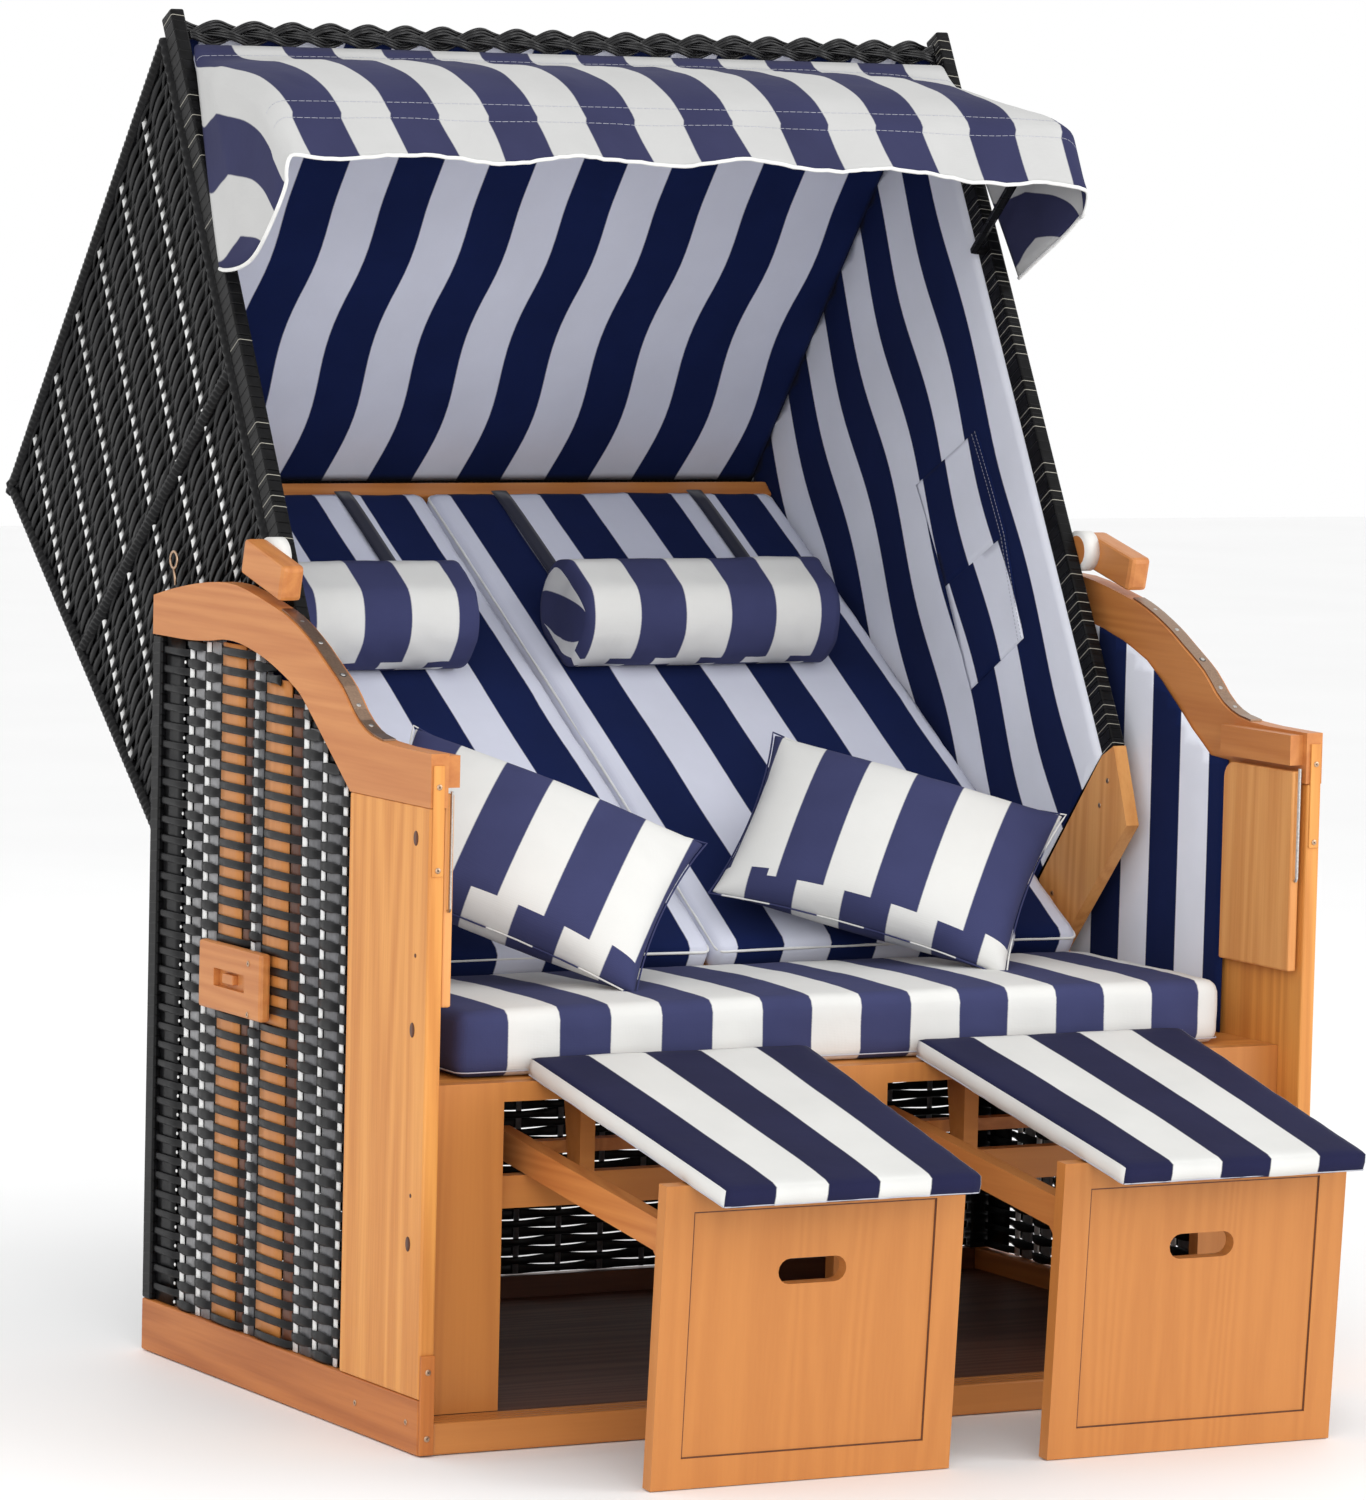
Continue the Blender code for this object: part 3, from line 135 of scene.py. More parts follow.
def mixColour(tree, factor, first, second, kind="MIX"):
    node = put(tree, "ShaderNodeMix", data_type="RGBA", blend_type=kind)
    for socket, value in ((node.inputs[0], factor), (node.inputs[6], first), (node.inputs[7], second)):
        if isinstance(value, bpy.types.NodeSocket):
            tree.links.new(value, socket)
        else:
            socket.default_value = value if isinstance(value, float) else (*value, 1)
    return node.outputs[2]


def maths(tree, operation, first, second=0.0, third=0.0):
    node = put(tree, "ShaderNodeMath", {0: first, 1: second, 2: third}, operation=operation)
    return node.outputs[0]


def bump(tree, shader, height, strength, distance, before=None):
    inputs = {"Height": height, "Strength": strength, "Distance": distance}
    if before is not None:
        inputs["Normal"] = before
    node = put(tree, "ShaderNodeBump", inputs)
    tree.links.new(node.outputs["Normal"], shader.inputs["Normal"])
    return node.outputs["Normal"]


woodLooks = {
    "pine": {"light": (0.80, 0.385, 0.100), "mid": (0.72, 0.310, 0.070), "dark": (0.52, 0.180, 0.035),
             "knots": 0.024, "rough": 0.42},
    "pale": {"light": (0.84, 0.430, 0.150), "mid": (0.77, 0.360, 0.115), "dark": (0.60, 0.230, 0.060),
             "knots": 0.0, "rough": 0.40},
    "panel": {"light": (0.56, 0.226, 0.056), "mid": (0.53, 0.205, 0.049), "dark": (0.47, 0.172, 0.040),
              "knots": 0.0, "rough": 0.40},
    "armrest": {"light": (0.66, 0.280, 0.085), "mid": (0.58, 0.225, 0.062), "dark": (0.46, 0.150, 0.038),
                "knots": 0.0, "rough": 0.38},
    "brown": {"light": (0.58, 0.212, 0.043), "mid": (0.50, 0.162, 0.032), "dark": (0.33, 0.088, 0.017),
              "knots": 0.03, "rough": 0.45},
    "darkBrown": {"light": (0.16, 0.052, 0.020), "mid": (0.12, 0.038, 0.015), "dark": (0.06, 0.018, 0.008),
                  "knots": 0.0, "rough": 0.45},
}


def makeWood(lookName, grain, shift=0.0):
    look = woodLooks[lookName]
    mat, tree, shader = startMaterial(f"{lookName}Wood_{grain}", look["rough"])
    coords = put(tree, "ShaderNodeTexCoord").outputs["Object"]
    stretch = {"x": (0.035, 1, 1), "y": (1, 0.035, 1), "z": (1, 1, 0.035)}[grain]
    place = put(tree, "ShaderNodeMapping", {"Vector": coords, "Scale": stretch,
                                            "Location": (shift, shift * 2, shift * 3)}).outputs[0]
    figure = put(tree, "ShaderNodeTexNoise", {"Vector": place, "Scale": 8.0, "Detail": 1.5,
                                              "Roughness": 0.45}).outputs["Fac"]
    rings = maths(tree, "SINE", maths(tree, "MULTIPLY", figure, 120.0))
    rings = maths(tree, "MULTIPLY_ADD", rings, 0.5, 0.5)
    fibre = put(tree, "ShaderNodeTexNoise", {"Vector": place, "Scale": 260.0, "Detail": 4.0}).outputs["Fac"]
    cloud = put(tree, "ShaderNodeTexNoise", {"Vector": place, "Scale": 18.0, "Detail": 3.0}).outputs["Fac"]
    tone = maths(tree, "MULTIPLY_ADD", rings, 0.20, 0.19)
    tone = maths(tree, "ADD", tone, maths(tree, "MULTIPLY", fibre, 0.30))
    tone = maths(tree, "ADD", tone, maths(tree, "MULTIPLY_ADD", cloud, 0.20, 0.07))
    colour = ramp(tree, tone, [(0.22, look["light"]), (0.50, look["mid"]), (0.86, look["dark"])])
    if look["knots"]:
        knotStretch = {"x": (0.55, 1, 1), "y": (1, 0.55, 1), "z": (1, 1, 0.55)}[grain]
        spot = put(tree, "ShaderNodeMapping", {"Vector": coords, "Scale": knotStretch}).outputs[0]
        cells = put(tree, "ShaderNodeTexVoronoi", {"Vector": spot, "Scale": 5.2, "Randomness": 1.0})
        near = put(tree, "ShaderNodeMapRange", {
            "Value": cells.outputs["Distance"], "From Min": look["knots"], "From Max": look["knots"] * 1.3,
            "To Min": 1.0, "To Max": 0.0})
        colour = mixColour(tree, near.outputs[0], colour, (0.16, 0.055, 0.018))
    tree.links.new(colour, shader.inputs["Base Color"])
    rough = put(tree, "ShaderNodeMapRange", {"Value": tone, "To Min": look["rough"] - 0.06,
                                             "To Max": look["rough"] + 0.14})
    tree.links.new(rough.outputs[0], shader.inputs["Roughness"])
    bump(tree, shader, maths(tree, "ADD", fibre, maths(tree, "MULTIPLY", rings, 0.25)), 0.12, 0.0006)
    shader.inputs["Coat Weight"].default_value = 0.08
    shader.inputs["Specular IOR Level"].default_value = 0.35
    shader.inputs["Coat Roughness"].default_value = 0.25
    return mat


resinLooks = {
    "black": {"low": (0.0015, 0.0015, 0.0018), "high": (0.006, 0.006, 0.007), "rough": 0.34, "streak": 190.0,
              "specular": 0.30, "ior": 1.35},
    "gloss": {"low": (0.0015, 0.0015, 0.0018), "high": (0.006, 0.006, 0.007), "rough": 0.20, "streak": 190.0,
              "specular": 0.5, "ior": 1.45},
    "grey": {"low": (0.085, 0.085, 0.09), "high": (0.15, 0.15, 0.16), "rough": 0.36, "streak": 150.0},
    "paleGrey": {"low": (0.20, 0.20, 0.205), "high": (0.31, 0.31, 0.32), "rough": 0.38, "streak": 150.0},
    "white": {"low": (0.72, 0.72, 0.71), "high": (0.86, 0.86, 0.85), "rough": 0.40, "streak": 150.0},
}


def makeResin(lookName):
    look = resinLooks[lookName]
    mat, tree, shader = startMaterial(f"{lookName}Resin", look["rough"])
    coords = put(tree, "ShaderNodeTexCoord").outputs["Object"]
    streak = put(tree, "ShaderNodeTexNoise", {"Vector": coords, "Scale": look["streak"], "Detail": 3.0})
    cloud = put(tree, "ShaderNodeTexNoise", {"Vector": coords, "Scale": 23.0, "Detail": 2.0})
    tone = maths(tree, "MULTIPLY", maths(tree, "ADD", streak.outputs["Fac"], cloud.outputs["Fac"]), 0.5)
    tree.links.new(ramp(tree, tone, [(0.35, look["low"]), (0.65, look["high"])]), shader.inputs["Base Color"])
    rough = put(tree, "ShaderNodeMapRange", {"Value": tone, "From Min": 0.3, "From Max": 0.7,
                                             "To Min": look["rough"] - 0.08, "To Max": look["rough"] + 0.14})
    tree.links.new(rough.outputs[0], shader.inputs["Roughness"])
    bump(tree, shader, streak.outputs["Fac"], 0.12, 0.0005)
    shader.inputs["Specular IOR Level"].default_value = look.get("specular", 0.4)
    shader.inputs["IOR"].default_value = look.get("ior", 1.45)
    return mat


def makeWrap(name, direction, pitch, tickShare):
    # flat strands wrapped round a post, with a groove at each turn and thin pale edges here and there
    mat, tree, shader = startMaterial(name, 0.36)
    coords = put(tree, "ShaderNodeTexCoord").outputs["Object"]
    along = put(tree, "ShaderNodeVectorMath", {0: coords, 1: tuple(direction)}, operation="DOT_PRODUCT")
    slant = put(tree, "ShaderNodeVectorMath", {0: coords, 1: (0.14, 0.14, 0)}, operation="DOT_PRODUCT")
    turns = maths(tree, "DIVIDE", maths(tree, "ADD", along.outputs["Value"], slant.outputs["Value"]), pitch)
    saw = maths(tree, "FRACT", turns)
    groove = put(tree, "ShaderNodeMapRange", {"Value": maths(tree, "PINGPONG", saw, 0.5), "From Min": 0.0,
                                              "From Max": 0.09})
    cloud = put(tree, "ShaderNodeTexNoise", {"Vector": coords, "Scale": 60.0, "Detail": 3.0}).outputs["Fac"]
    colour = ramp(tree, cloud, [(0.3, (0.002, 0.002, 0.002)), (0.7, (0.007, 0.007, 0.008))])
    shader.inputs["Specular IOR Level"].default_value = 0.25
    shader.inputs["IOR"].default_value = 1.35
    # painted shade: the groove at each turn is coloured darker
    colour = mixColour(tree, groove.outputs[0], (0.001, 0.001, 0.001), colour)
    if tickShare:
        turn = maths(tree, "FLOOR", turns)
        chance = put(tree, "ShaderNodeTexWhiteNoise", {"W": turn}, noise_dimensions="1D").outputs["Value"]
        chosen = maths(tree, "LESS_THAN", chance, tickShare)
        off = maths(tree, "ABSOLUTE", maths(tree, "SUBTRACT", saw, 0.5))
        thin = maths(tree, "LESS_THAN", off, 0.030)
        colour = mixColour(tree, maths(tree, "MULTIPLY", chosen, thin), colour, (0.42, 0.40, 0.34))
    tree.links.new(colour, shader.inputs["Base Color"])
    relief = maths(tree, "ADD", groove.outputs[0], maths(tree, "MULTIPLY", cloud, 0.3))
    bump(tree, shader, relief, 0.6, 0.0012)
    return mat


clothLooks = {
    "cushion": {"navy": (0.045, 0.050, 0.125), "white": (0.71, 0.71, 0.69), "crease": 0.5},
    "lining": {"navy": (0.007, 0.014, 0.066), "white": (0.70, 0.72, 0.83), "crease": 0.35},
    # painted light: the next look is a brighter copy of the lining's cloth, for the side linings that the
    # lamps light less
    "sideLining": {"navy": (0.007, 0.014, 0.066), "white": (0.85, 0.87, 0.95), "crease": 0.35},
    "awning": {"navy": (0.036, 0.038, 0.092), "white": (0.53, 0.53, 0.525), "crease": 0.8},
    # painted shade: the pads' cloth is a darker copy of the cushions' stripes, as their tops catch more light
    "pad": {"navy": (0.016, 0.017, 0.052), "white": (0.68, 0.68, 0.66), "crease": 0.4},
}


def makeStripes(lookName):
    # the stripe attribute counts stripes across the cloth, and even ones are navy
    look = clothLooks[lookName]
    mat, tree, shader = startMaterial(f"{lookName}Stripes", 0.82)
    coords = put(tree, "ShaderNodeTexCoord").outputs["Object"]
    count = put(tree, "ShaderNodeAttribute", attribute_name="stripe").outputs["Fac"]
    fray = put(tree, "ShaderNodeTexNoise", {"Vector": coords, "Scale": 900.0, "Detail": 1.0}).outputs["Fac"]
    count = maths(tree, "ADD", count, maths(tree, "MULTIPLY", fray, 0.012))
    triangle = maths(tree, "PINGPONG", maths(tree, "ADD", count, 0.5), 1.0)
    white = put(tree, "ShaderNodeMapRange", {"Value": triangle, "From Min": 0.512,
                                             "From Max": 0.488}).outputs[0]
    cloud = put(tree, "ShaderNodeTexNoise", {"Vector": coords, "Scale": 9.0, "Detail": 4.0}).outputs["Fac"]
    fade = put(tree, "ShaderNodeMapRange", {"Value": cloud, "From Min": 0.3, "From Max": 0.7,
                                            "To Min": 0.90, "To Max": 1.10}).outputs[0]
    navy = mixColour(tree, 1.0, look["navy"], fade, "MULTIPLY")
    pale = mixColour(tree, 0.35, look["white"], fade, "MULTIPLY")
    tree.links.new(mixColour(tree, white, navy, pale), shader.inputs["Base Color"])
    threads = [put(tree, "ShaderNodeTexWave", {"Vector": coords, "Scale": 170.0}, bands_direction=axis,
                   wave_type="BANDS").outputs["Fac"] for axis in ("X", "Y", "Z")]
    weave = maths(tree, "ADD", maths(tree, "ADD", threads[0], threads[1]), threads[2])
    folds = put(tree, "ShaderNodeTexNoise", {"Vector": coords, "Scale": 14.0, "Detail": 3.0,
                                             "Distortion": 1.2}).outputs["Fac"]
    first = bump(tree, shader, folds, 0.30 * look["crease"], 0.006)
    bump(tree, shader, weave, 0.10, 0.0004, first)
    shader.inputs["Sheen Weight"].default_value = 0.02
    shader.inputs["Specular IOR Level"].default_value = 0.2
    shader.inputs["IOR"].default_value = 1.25
    return mat


def makeCloth(name, colour):
    mat, tree, shader = startMaterial(name, 0.8)
    coords = put(tree, "ShaderNodeTexCoord").outputs["Object"]
    cloud = put(tree, "ShaderNodeTexNoise", {"Vector": coords, "Scale": 40.0, "Detail": 3.0}).outputs["Fac"]
    darker = tuple(0.86 * c for c in colour)
    tree.links.new(ramp(tree, cloud, [(0.3, darker), (0.7, colour)]), shader.inputs["Base Color"])
    bump(tree, shader, cloud, 0.15, 0.0008)
    shader.inputs["Sheen Weight"].default_value = 0.15
    return mat


def makeMetal(name, colour, roughness):
    mat, tree, shader = startMaterial(name, roughness, 1.0)
    coords = put(tree, "ShaderNodeTexCoord").outputs["Object"]
    brushed = put(tree, "ShaderNodeTexNoise", {"Vector": coords, "Scale": 420.0,
                                               "Detail": 3.0}).outputs["Fac"]
    darker = tuple(0.72 * c for c in colour)
    tree.links.new(ramp(tree, brushed, [(0.3, darker), (0.7, colour)]), shader.inputs["Base Color"])
    rough = put(tree, "ShaderNodeMapRange", {"Value": brushed, "To Min": roughness - 0.08,
                                             "To Max": roughness + 0.12})
    tree.links.new(rough.outputs[0], shader.inputs["Roughness"])
    return mat


woods = {}


def wood(lookName, grain):
    key = (lookName, grain)
    if key not in woods:
        woods[key] = makeWood(lookName, grain, 0.37 * len(woods))
    return woods[key]


resin = {name: makeResin(name) for name in resinLooks}
stripes = {name: makeStripes(name) for name in clothLooks}
pipingWhite = makeCloth("whitePiping", (0.84, 0.84, 0.82))
threadWhite = makeCloth("seamThread", (0.46, 0.47, 0.54))
coppery = makeMetal("copperyScrews", (0.62, 0.42, 0.28), 0.34)
steel = makeMetal("plainSteel", (0.60, 0.58, 0.55), 0.30)
bronze = makeMetal("bronzeStrip", (0.40, 0.27, 0.19), 0.36)
spacerWhite = makeCloth("whiteSpacer", (0.80, 0.79, 0.76))
# painted shade: a near-black colour for the shade inside screw slots and round the pins in their holes
holeShade = makeCloth("darkHole", (0.02, 0.012, 0.008))
strapNavy = makeCloth("navyStraps", (0.008, 0.010, 0.030))
hoodUp = Vector((0, math.sin(chair["recline"]), math.cos(chair["recline"])))
postWraps = {"left": makeWrap("wrappedPostLeft", hoodUp, 0.0145, 0.16),
             "right": makeWrap("wrappedPostRight", hoodUp, 0.0135, 0.60)}
upWrap = makeWrap("wrappedUpright", (0, 0, 1), 0.0125, 0.0)
print("materials made")


# makers of meshes
def makeObject(name, verts, faces, smooth=True):
    mesh = bpy.data.meshes.new(name)
    mesh.from_pydata([tuple(map(float, v)) for v in verts], [], [tuple(map(int, f)) for f in faces])
    mesh.update()
    if smooth:
        mesh.shade_smooth()
    obj = bpy.data.objects.new(name, mesh)
    bpy.context.scene.collection.objects.link(obj)
    return obj


def dress(obj, material, body, slotName, replaced=()):
    obj.data.materials.clear()
    obj.data.materials.append(material)
    if body:
        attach(obj, body)
    if replaced:
        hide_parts(*replaced)
    return obj


def soften(obj, width):
    bevel = obj.modifiers.new("softEdges", "BEVEL")
    bevel.width = width
    bevel.segments = 2


def newStore():
    return {"verts": [], "faces": [], "count": 0}


def keep(store, verts, faces):
    store["verts"].append(np.asarray(verts, float))
    store["faces"].append(np.asarray(faces, int) + store["count"])
    store["count"] += len(verts)


def storeObject(name, store, smooth=True):
    verts = np.concatenate(store["verts"])
    faces = [tuple(f[f >= 0]) if (f < 0).any() else tuple(f) for group in store["faces"] for f in group]
    return makeObject(name, verts, faces, smooth)


def piece(name, store, material, body, slotName, replaced=(), smooth=True):
    return dress(storeObject(name, store, smooth), material, body, slotName, replaced)


def wicker(name, store, colour, body, replaced=()):
    return piece(name, store, resin[colour], body, "black_wicker", replaced)


def addTube(store, points, width, height=None, around=6, normal=None, taper=None, phase=0.0):
    # a tube through the points; width lies across the normal and height along it
    points = np.asarray(points, float)
    height = width if height is None else height
    tangent = np.gradient(points, axis=0)
    tangent /= np.linalg.norm(tangent, axis=1)[:, None] + 1e-12
    if normal is None:
        seed = np.array((0.0, 0.0, 1.0)) if abs(tangent[0][2]) < 0.9 else np.array((1.0, 0.0, 0.0))
        normals = np.zeros_like(points)
        current = seed
        for index, direction in enumerate(tangent):
            current = current - direction * current.dot(direction)
            current /= np.linalg.norm(current) + 1e-12
            normals[index] = current
    else:
        normals = np.broadcast_to(np.asarray(normal, float), points.shape).copy()
        normals -= tangent * (normals * tangent).sum(1)[:, None]
        normals /= np.linalg.norm(normals, axis=1)[:, None] + 1e-12
    across = np.cross(tangent, normals)
    angles = 2 * np.pi * np.arange(around) / around + phase
    size = np.ones((len(points), 2)) if taper is None else np.asarray(taper, float)
    if size.ndim == 1:
        size = np.stack((size, size), axis=1)
    ring = (across[:, None, :] * (size[:, :1] * np.cos(angles) * width / 2)[..., None]
            + normals[:, None, :] * (size[:, 1:] * np.sin(angles) * height / 2)[..., None])
    verts = (points[:, None, :] + ring).reshape(-1, 3)
    start = np.arange(len(points) - 1)[:, None] * around
    a = start + np.arange(around)[None, :]
    b = start + (np.arange(around)[None, :] + 1) % around
    quads = np.stack((a, b, b + around, a + around), axis=-1).reshape(-1, 4)
    firstRing = store["count"]
    keep(store, verts, quads)
    # caps as fans
    turn = np.arange(around)
    for index in (0, len(points) - 1):
        first = firstRing + index * around + turn
        second = firstRing + index * around + (turn + 1) % around
        middle = np.full(around, store["count"])
        store["verts"].append(points[index][None, :])
        store["count"] += 1
        rim = (second, first) if index == 0 else (first, second)
        store["faces"].append(np.stack((*rim, middle), axis=-1))


def addBox(store, low, high, matrix=None):
    (x0, y0, z0), (x1, y1, z1) = low, high
    corners = np.array([(x0, y0, z0), (x1, y0, z0), (x1, y1, z0), (x0, y1, z0),
                        (x0, y0, z1), (x1, y0, z1), (x1, y1, z1), (x0, y1, z1)], float)
    if matrix is not None:
        m = np.array(matrix)
        corners = corners @ m[:3, :3].T + m[:3, 3]
    keep(store, corners, [(0, 3, 2, 1), (4, 5, 6, 7), (0, 1, 5, 4), (1, 2, 6, 5), (2, 3, 7, 6), (3, 0, 4, 7)])


def addDisc(store, centre, axis, radius, depth, around=14):
    axis = Vector(axis).normalized()
    centre = Vector(centre)
    points = [centre, centre + axis * depth * 0.7, centre + axis * depth]
    addTube(store, points, 2 * radius, around=around, normal=axis.orthogonal(), taper=(1, 1, 0.86))


def insideSpans(outline, value, axis):
    # where the line at value crosses the outline, as low-high pairs along the other axis
    hits = []
    for (p, q) in zip(outline, outline[1:] + outline[:1]):
        a, b = p[axis], q[axis]
        if (a <= value) != (b <= value):
            t = (value - a) / (b - a)
            hits.append(p[1 - axis] + (q[1 - axis] - p[1 - axis]) * t)
    hits.sort()
    return list(zip(hits[::2], hits[1::2]))


print("mesh makers ready")


# woven walls of the hood and the base
hoodWeave = {"pitch": 0.0092, "strandWidth": 0.0086, "strandThickness": 0.0036, "swing": 0.0026,
             "stakeSpacing": 0.051, "stakeWidth": 0.0052, "stakeThickness": 0.0030, "cordWidth": 0.0070,
             "cordThickness": 0.0068, "overStake": 0.60, "overCord": -0.12, "under": 0.30}


def weaveFlat(strandStore, stakeStores, outline, toWorld, outward, look, margin=0.004):
    # strands run along the first axis of the outline, stakes along the second
    lowS, highS = min(p[0] for p in outline), max(p[0] for p in outline)
    lowT, highT = min(p[1] for p in outline), max(p[1] for p in outline)
    spacing, pitch = look["stakeSpacing"], look["pitch"]
    rows = int((highT - lowT) / pitch)
    for row in range(rows):
        t = lowT + (row + 0.5) * pitch
        for s0, s1 in insideSpans(outline, t, 1):
            s0, s1 = s0 + margin, s1 - margin
            if s1 - s0 < 0.01:
                continue
            s = np.linspace(s0, s1, max(3, int((s1 - s0) / (spacing / 7))))
            wave = np.cos(math.pi * (s - lowS) / spacing + math.pi * row)
            swing = look["swing"] * np.sign(wave) * np.abs(wave) ** 0.7
            # a strand is full outside a dark stake, drawn in outside a white cord and narrow going under
            atCord = np.cos(math.pi * (s - lowS) / spacing) > 0
            over = np.where(atCord, look["overCord"], look["overStake"])
            widths = 1 + np.where(wave > 0, over * wave, look["under"] * wave)
            points = [toWorld(a, t, b) for a, b in zip(s, swing)]
            addTube(strandStore, points, look["strandWidth"], look["strandThickness"], 8, outward,
                    taper=np.stack((widths, np.ones_like(widths)), axis=1))
    number = 0
    s = lowS + spacing
    while s < highS - spacing * 0.3:
        for t0, t1 in insideSpans(outline, s, 0):
            if t1 - t0 > 0.03:
                points = [toWorld(s, t, 0) for t in (t0 + margin, (t0 + t1) / 2, t1 - margin)]
                kind = number % len(stakeStores)
                what = "cord" if kind else "stake"
                addTube(stakeStores[kind], points, look[f"{what}Width"], look[f"{what}Thickness"], 8, outward)
        s += spacing
        number += 1


def wrapBar(store, start, end, radius, pitch=0.0066, ridge=0.20, around=8, flat=1.0, outward=None):
    # a bar wrapped with a slanting strand, as a radius that rises and falls round it and along it
    start, end = np.asarray(start, float), np.asarray(end, float)
    length = np.linalg.norm(end - start)
    steps = max(4, int(length / pitch * 5))
    s = np.linspace(0, length, steps + 1)
    direction = (end - start) / length
    outward = np.array((0.0, 0.0, 1.0)) if outward is None else np.asarray(outward, float)
    outward = outward - direction * outward.dot(direction)
    if np.linalg.norm(outward) < 1e-6:
        outward = np.array((1.0, 0.0, 0.0))
    outward /= np.linalg.norm(outward)
    across = np.cross(direction, outward)
    angles = 2 * np.pi * np.arange(around) / around
    wave = np.abs(np.sin(np.pi * s[:, None] / pitch + angles[None, :] / 2))
    size = radius * (1.02 - ridge + ridge * wave ** 0.6)
    verts = (start + s[:, None] * direction)[:, None, :] + (
        across * np.cos(angles)[None, :, None] * size[..., None]
        + outward * (np.sin(angles) * flat)[None, :, None] * size[..., None])
    base = np.arange(steps)[:, None] * around
    a = base + np.arange(around)
    b = base + (np.arange(around) + 1) % around
    keep(store, verts.reshape(-1, 3), np.stack((a, b, b + around, a + around), axis=-1).reshape(-1, 4))
    for index, flip in ((0, True), (steps, False)):
        ring = store["count"] - (steps + 1) * around + index * around + np.arange(around)
        store["faces"].append((ring[::-1] if flip else ring)[None, :])


postCorner, roofCorner, lowCorner = (Vector(p) for p in (
    (chair["postFront"], chair["postTop"]), chair["corner"], chair["low"]))
roofDirection = (roofCorner - postCorner).normalized()
backDirection = (lowCorner - roofCorner).normalized()
inRoof = Vector((roofDirection.y, -roofDirection.x))
inBack = Vector((backDirection.y, -backDirection.x))


def hoodVector(pair):
    y, z = fromHood(pair[0], pair[1])
    y0, z0 = fromHood(0, 0)
    return Vector((0, y - y0, z - z0))


hoodSides = {"frontGap": 0.012, "footGap": 0.004, "foot": [(0.016, -0.018), (0.016, 0.062)], "pitch": 0.0088,
             "weaveIn": 0.0045, "backingIn": 0.0012, "backing": 0.001}
hoodBars = {"across": 0.5385, "inset": 0.0095, "front": 0.0098, "radius": 0.0092, "pitch": 0.0088,
            "frontPitch": 0.0125, "frontLow": 0.012, "braceRadius": 0.0098, "braceLow": 0.6664,
            "braceHigh": 0.5419, "roofGap": 0.004, "backGap": 0.006, "lowGap": 0.012}


def roofPlace(back):
    # the place on the roof's edge that is this far back
    return postCorner + roofDirection * ((back - postCorner.x) / roofDirection.x)


def weaveHoodSide(word, side):
    strands, whiteStakes, blackStakes = newStore(), newStore(), newStore()
    front = chair["postFront"] + chair["postDepth"] + hoodSides["frontGap"]
    top = roofPlace(front)
    panel = [Vector((front, chair["footTop"] + hoodSides["footGap"])), top, roofCorner, lowCorner]
    panel += [Vector(p) for p in hoodSides["foot"]]
    x = side * (chair["hoodHalfWidth"] - hoodSides["weaveIn"])

    # the strands run along the roof's edge, the stakes along the post
    def toOblique(p):
        d = p - top
        return (d.x / roofDirection.x, (roofDirection.x * d.y - roofDirection.y * d.x) / roofDirection.x)

    def toWorld(s, t, out):
        p = top + roofDirection * s + Vector((0, t))
        y, z = fromHood(p.x, p.y)
        return (x + side * out, y, z)

    look = dict(hoodWeave, pitch=hoodSides["pitch"])
    weaveFlat(strands, [blackStakes, whiteStakes], [toOblique(p) for p in panel], toWorld, (side, 0, 0), look)
    wicker(f"hoodSideStrands_{word}", strands, "black", "hood", [f"hood_side_{word}"])
    wicker(f"hoodSideStakes_{word}", blackStakes, "black", "hood")
    wicker(f"hoodSideCords_{word}", whiteStakes, "white", "hood")
    # dark sheet behind the strands, painted shade: it keeps the gaps in the weave dark where the lining's
    # back would show through
    xIn = side * (chair["hoodHalfWidth"] - chair["weaveThickness"] + hoodSides["backingIn"])
    ring = [(xIn, *fromHood(p.x, p.y)) for p in panel]
    verts = ring + [(xIn + side * hoodSides["backing"], p[1], p[2]) for p in ring]
    n = len(ring)
    faces = [tuple(range(n)), tuple(range(2 * n - 1, n - 1, -1))]
    faces += [(i, n + i, n + (i + 1) % n, (i + 1) % n) for i in range(n)]
    backing = makeObject(f"hoodSideBacking_{word}", verts, faces, smooth=False)
    dress(backing, resin["black"], "hood", "black_wicker")
    # wrapped bars along the edges and the slanting brace
    bars = newStore()
    xBar = side * hoodBars["across"]

    def bar(a, b, radius=hoodBars["radius"], pitch=hoodBars["pitch"]):
        wrapBar(bars, (xBar, *fromHood(*a)), (xBar, *fromHood(*b)), radius, pitch, outward=(side, 0, 0))

    frontBar = chair["postFront"] + chair["postDepth"] + hoodBars["front"]
    roofIn, backIn = inRoof * hoodBars["inset"], inBack * hoodBars["inset"]
    roofTop = roofPlace(frontBar) + roofIn
    reach = (hoodBars["braceHigh"] - roofCorner.y) / backDirection.y
    bar(roofTop, roofCorner + roofIn + backDirection * hoodBars["roofGap"])
    bar(roofCorner + backIn + backDirection * hoodBars["backGap"],
        lowCorner + backIn - backDirection * hoodBars["lowGap"])
    bar((frontBar, chair["footTop"] + hoodBars["frontLow"]), roofTop, pitch=hoodBars["frontPitch"])
    bar((frontBar, hoodBars["braceLow"]), roofCorner + backDirection * reach + backIn,
        hoodBars["braceRadius"])
    wicker(f"hoodSideBars_{word}", bars, "black", "hood")


hoodPanel = {"sideGap": 0.0005, "endGap": 0.006, "middle": 0.0062, "stakes": 16, "inner": 0.0125,
             "innerGap": 0.002,
             "backing": 0.001, "edgeRadius": 0.0105, "edgeIn": 0.006, "edges": [(-0.012, 0), (-0.008, 0.012)]}


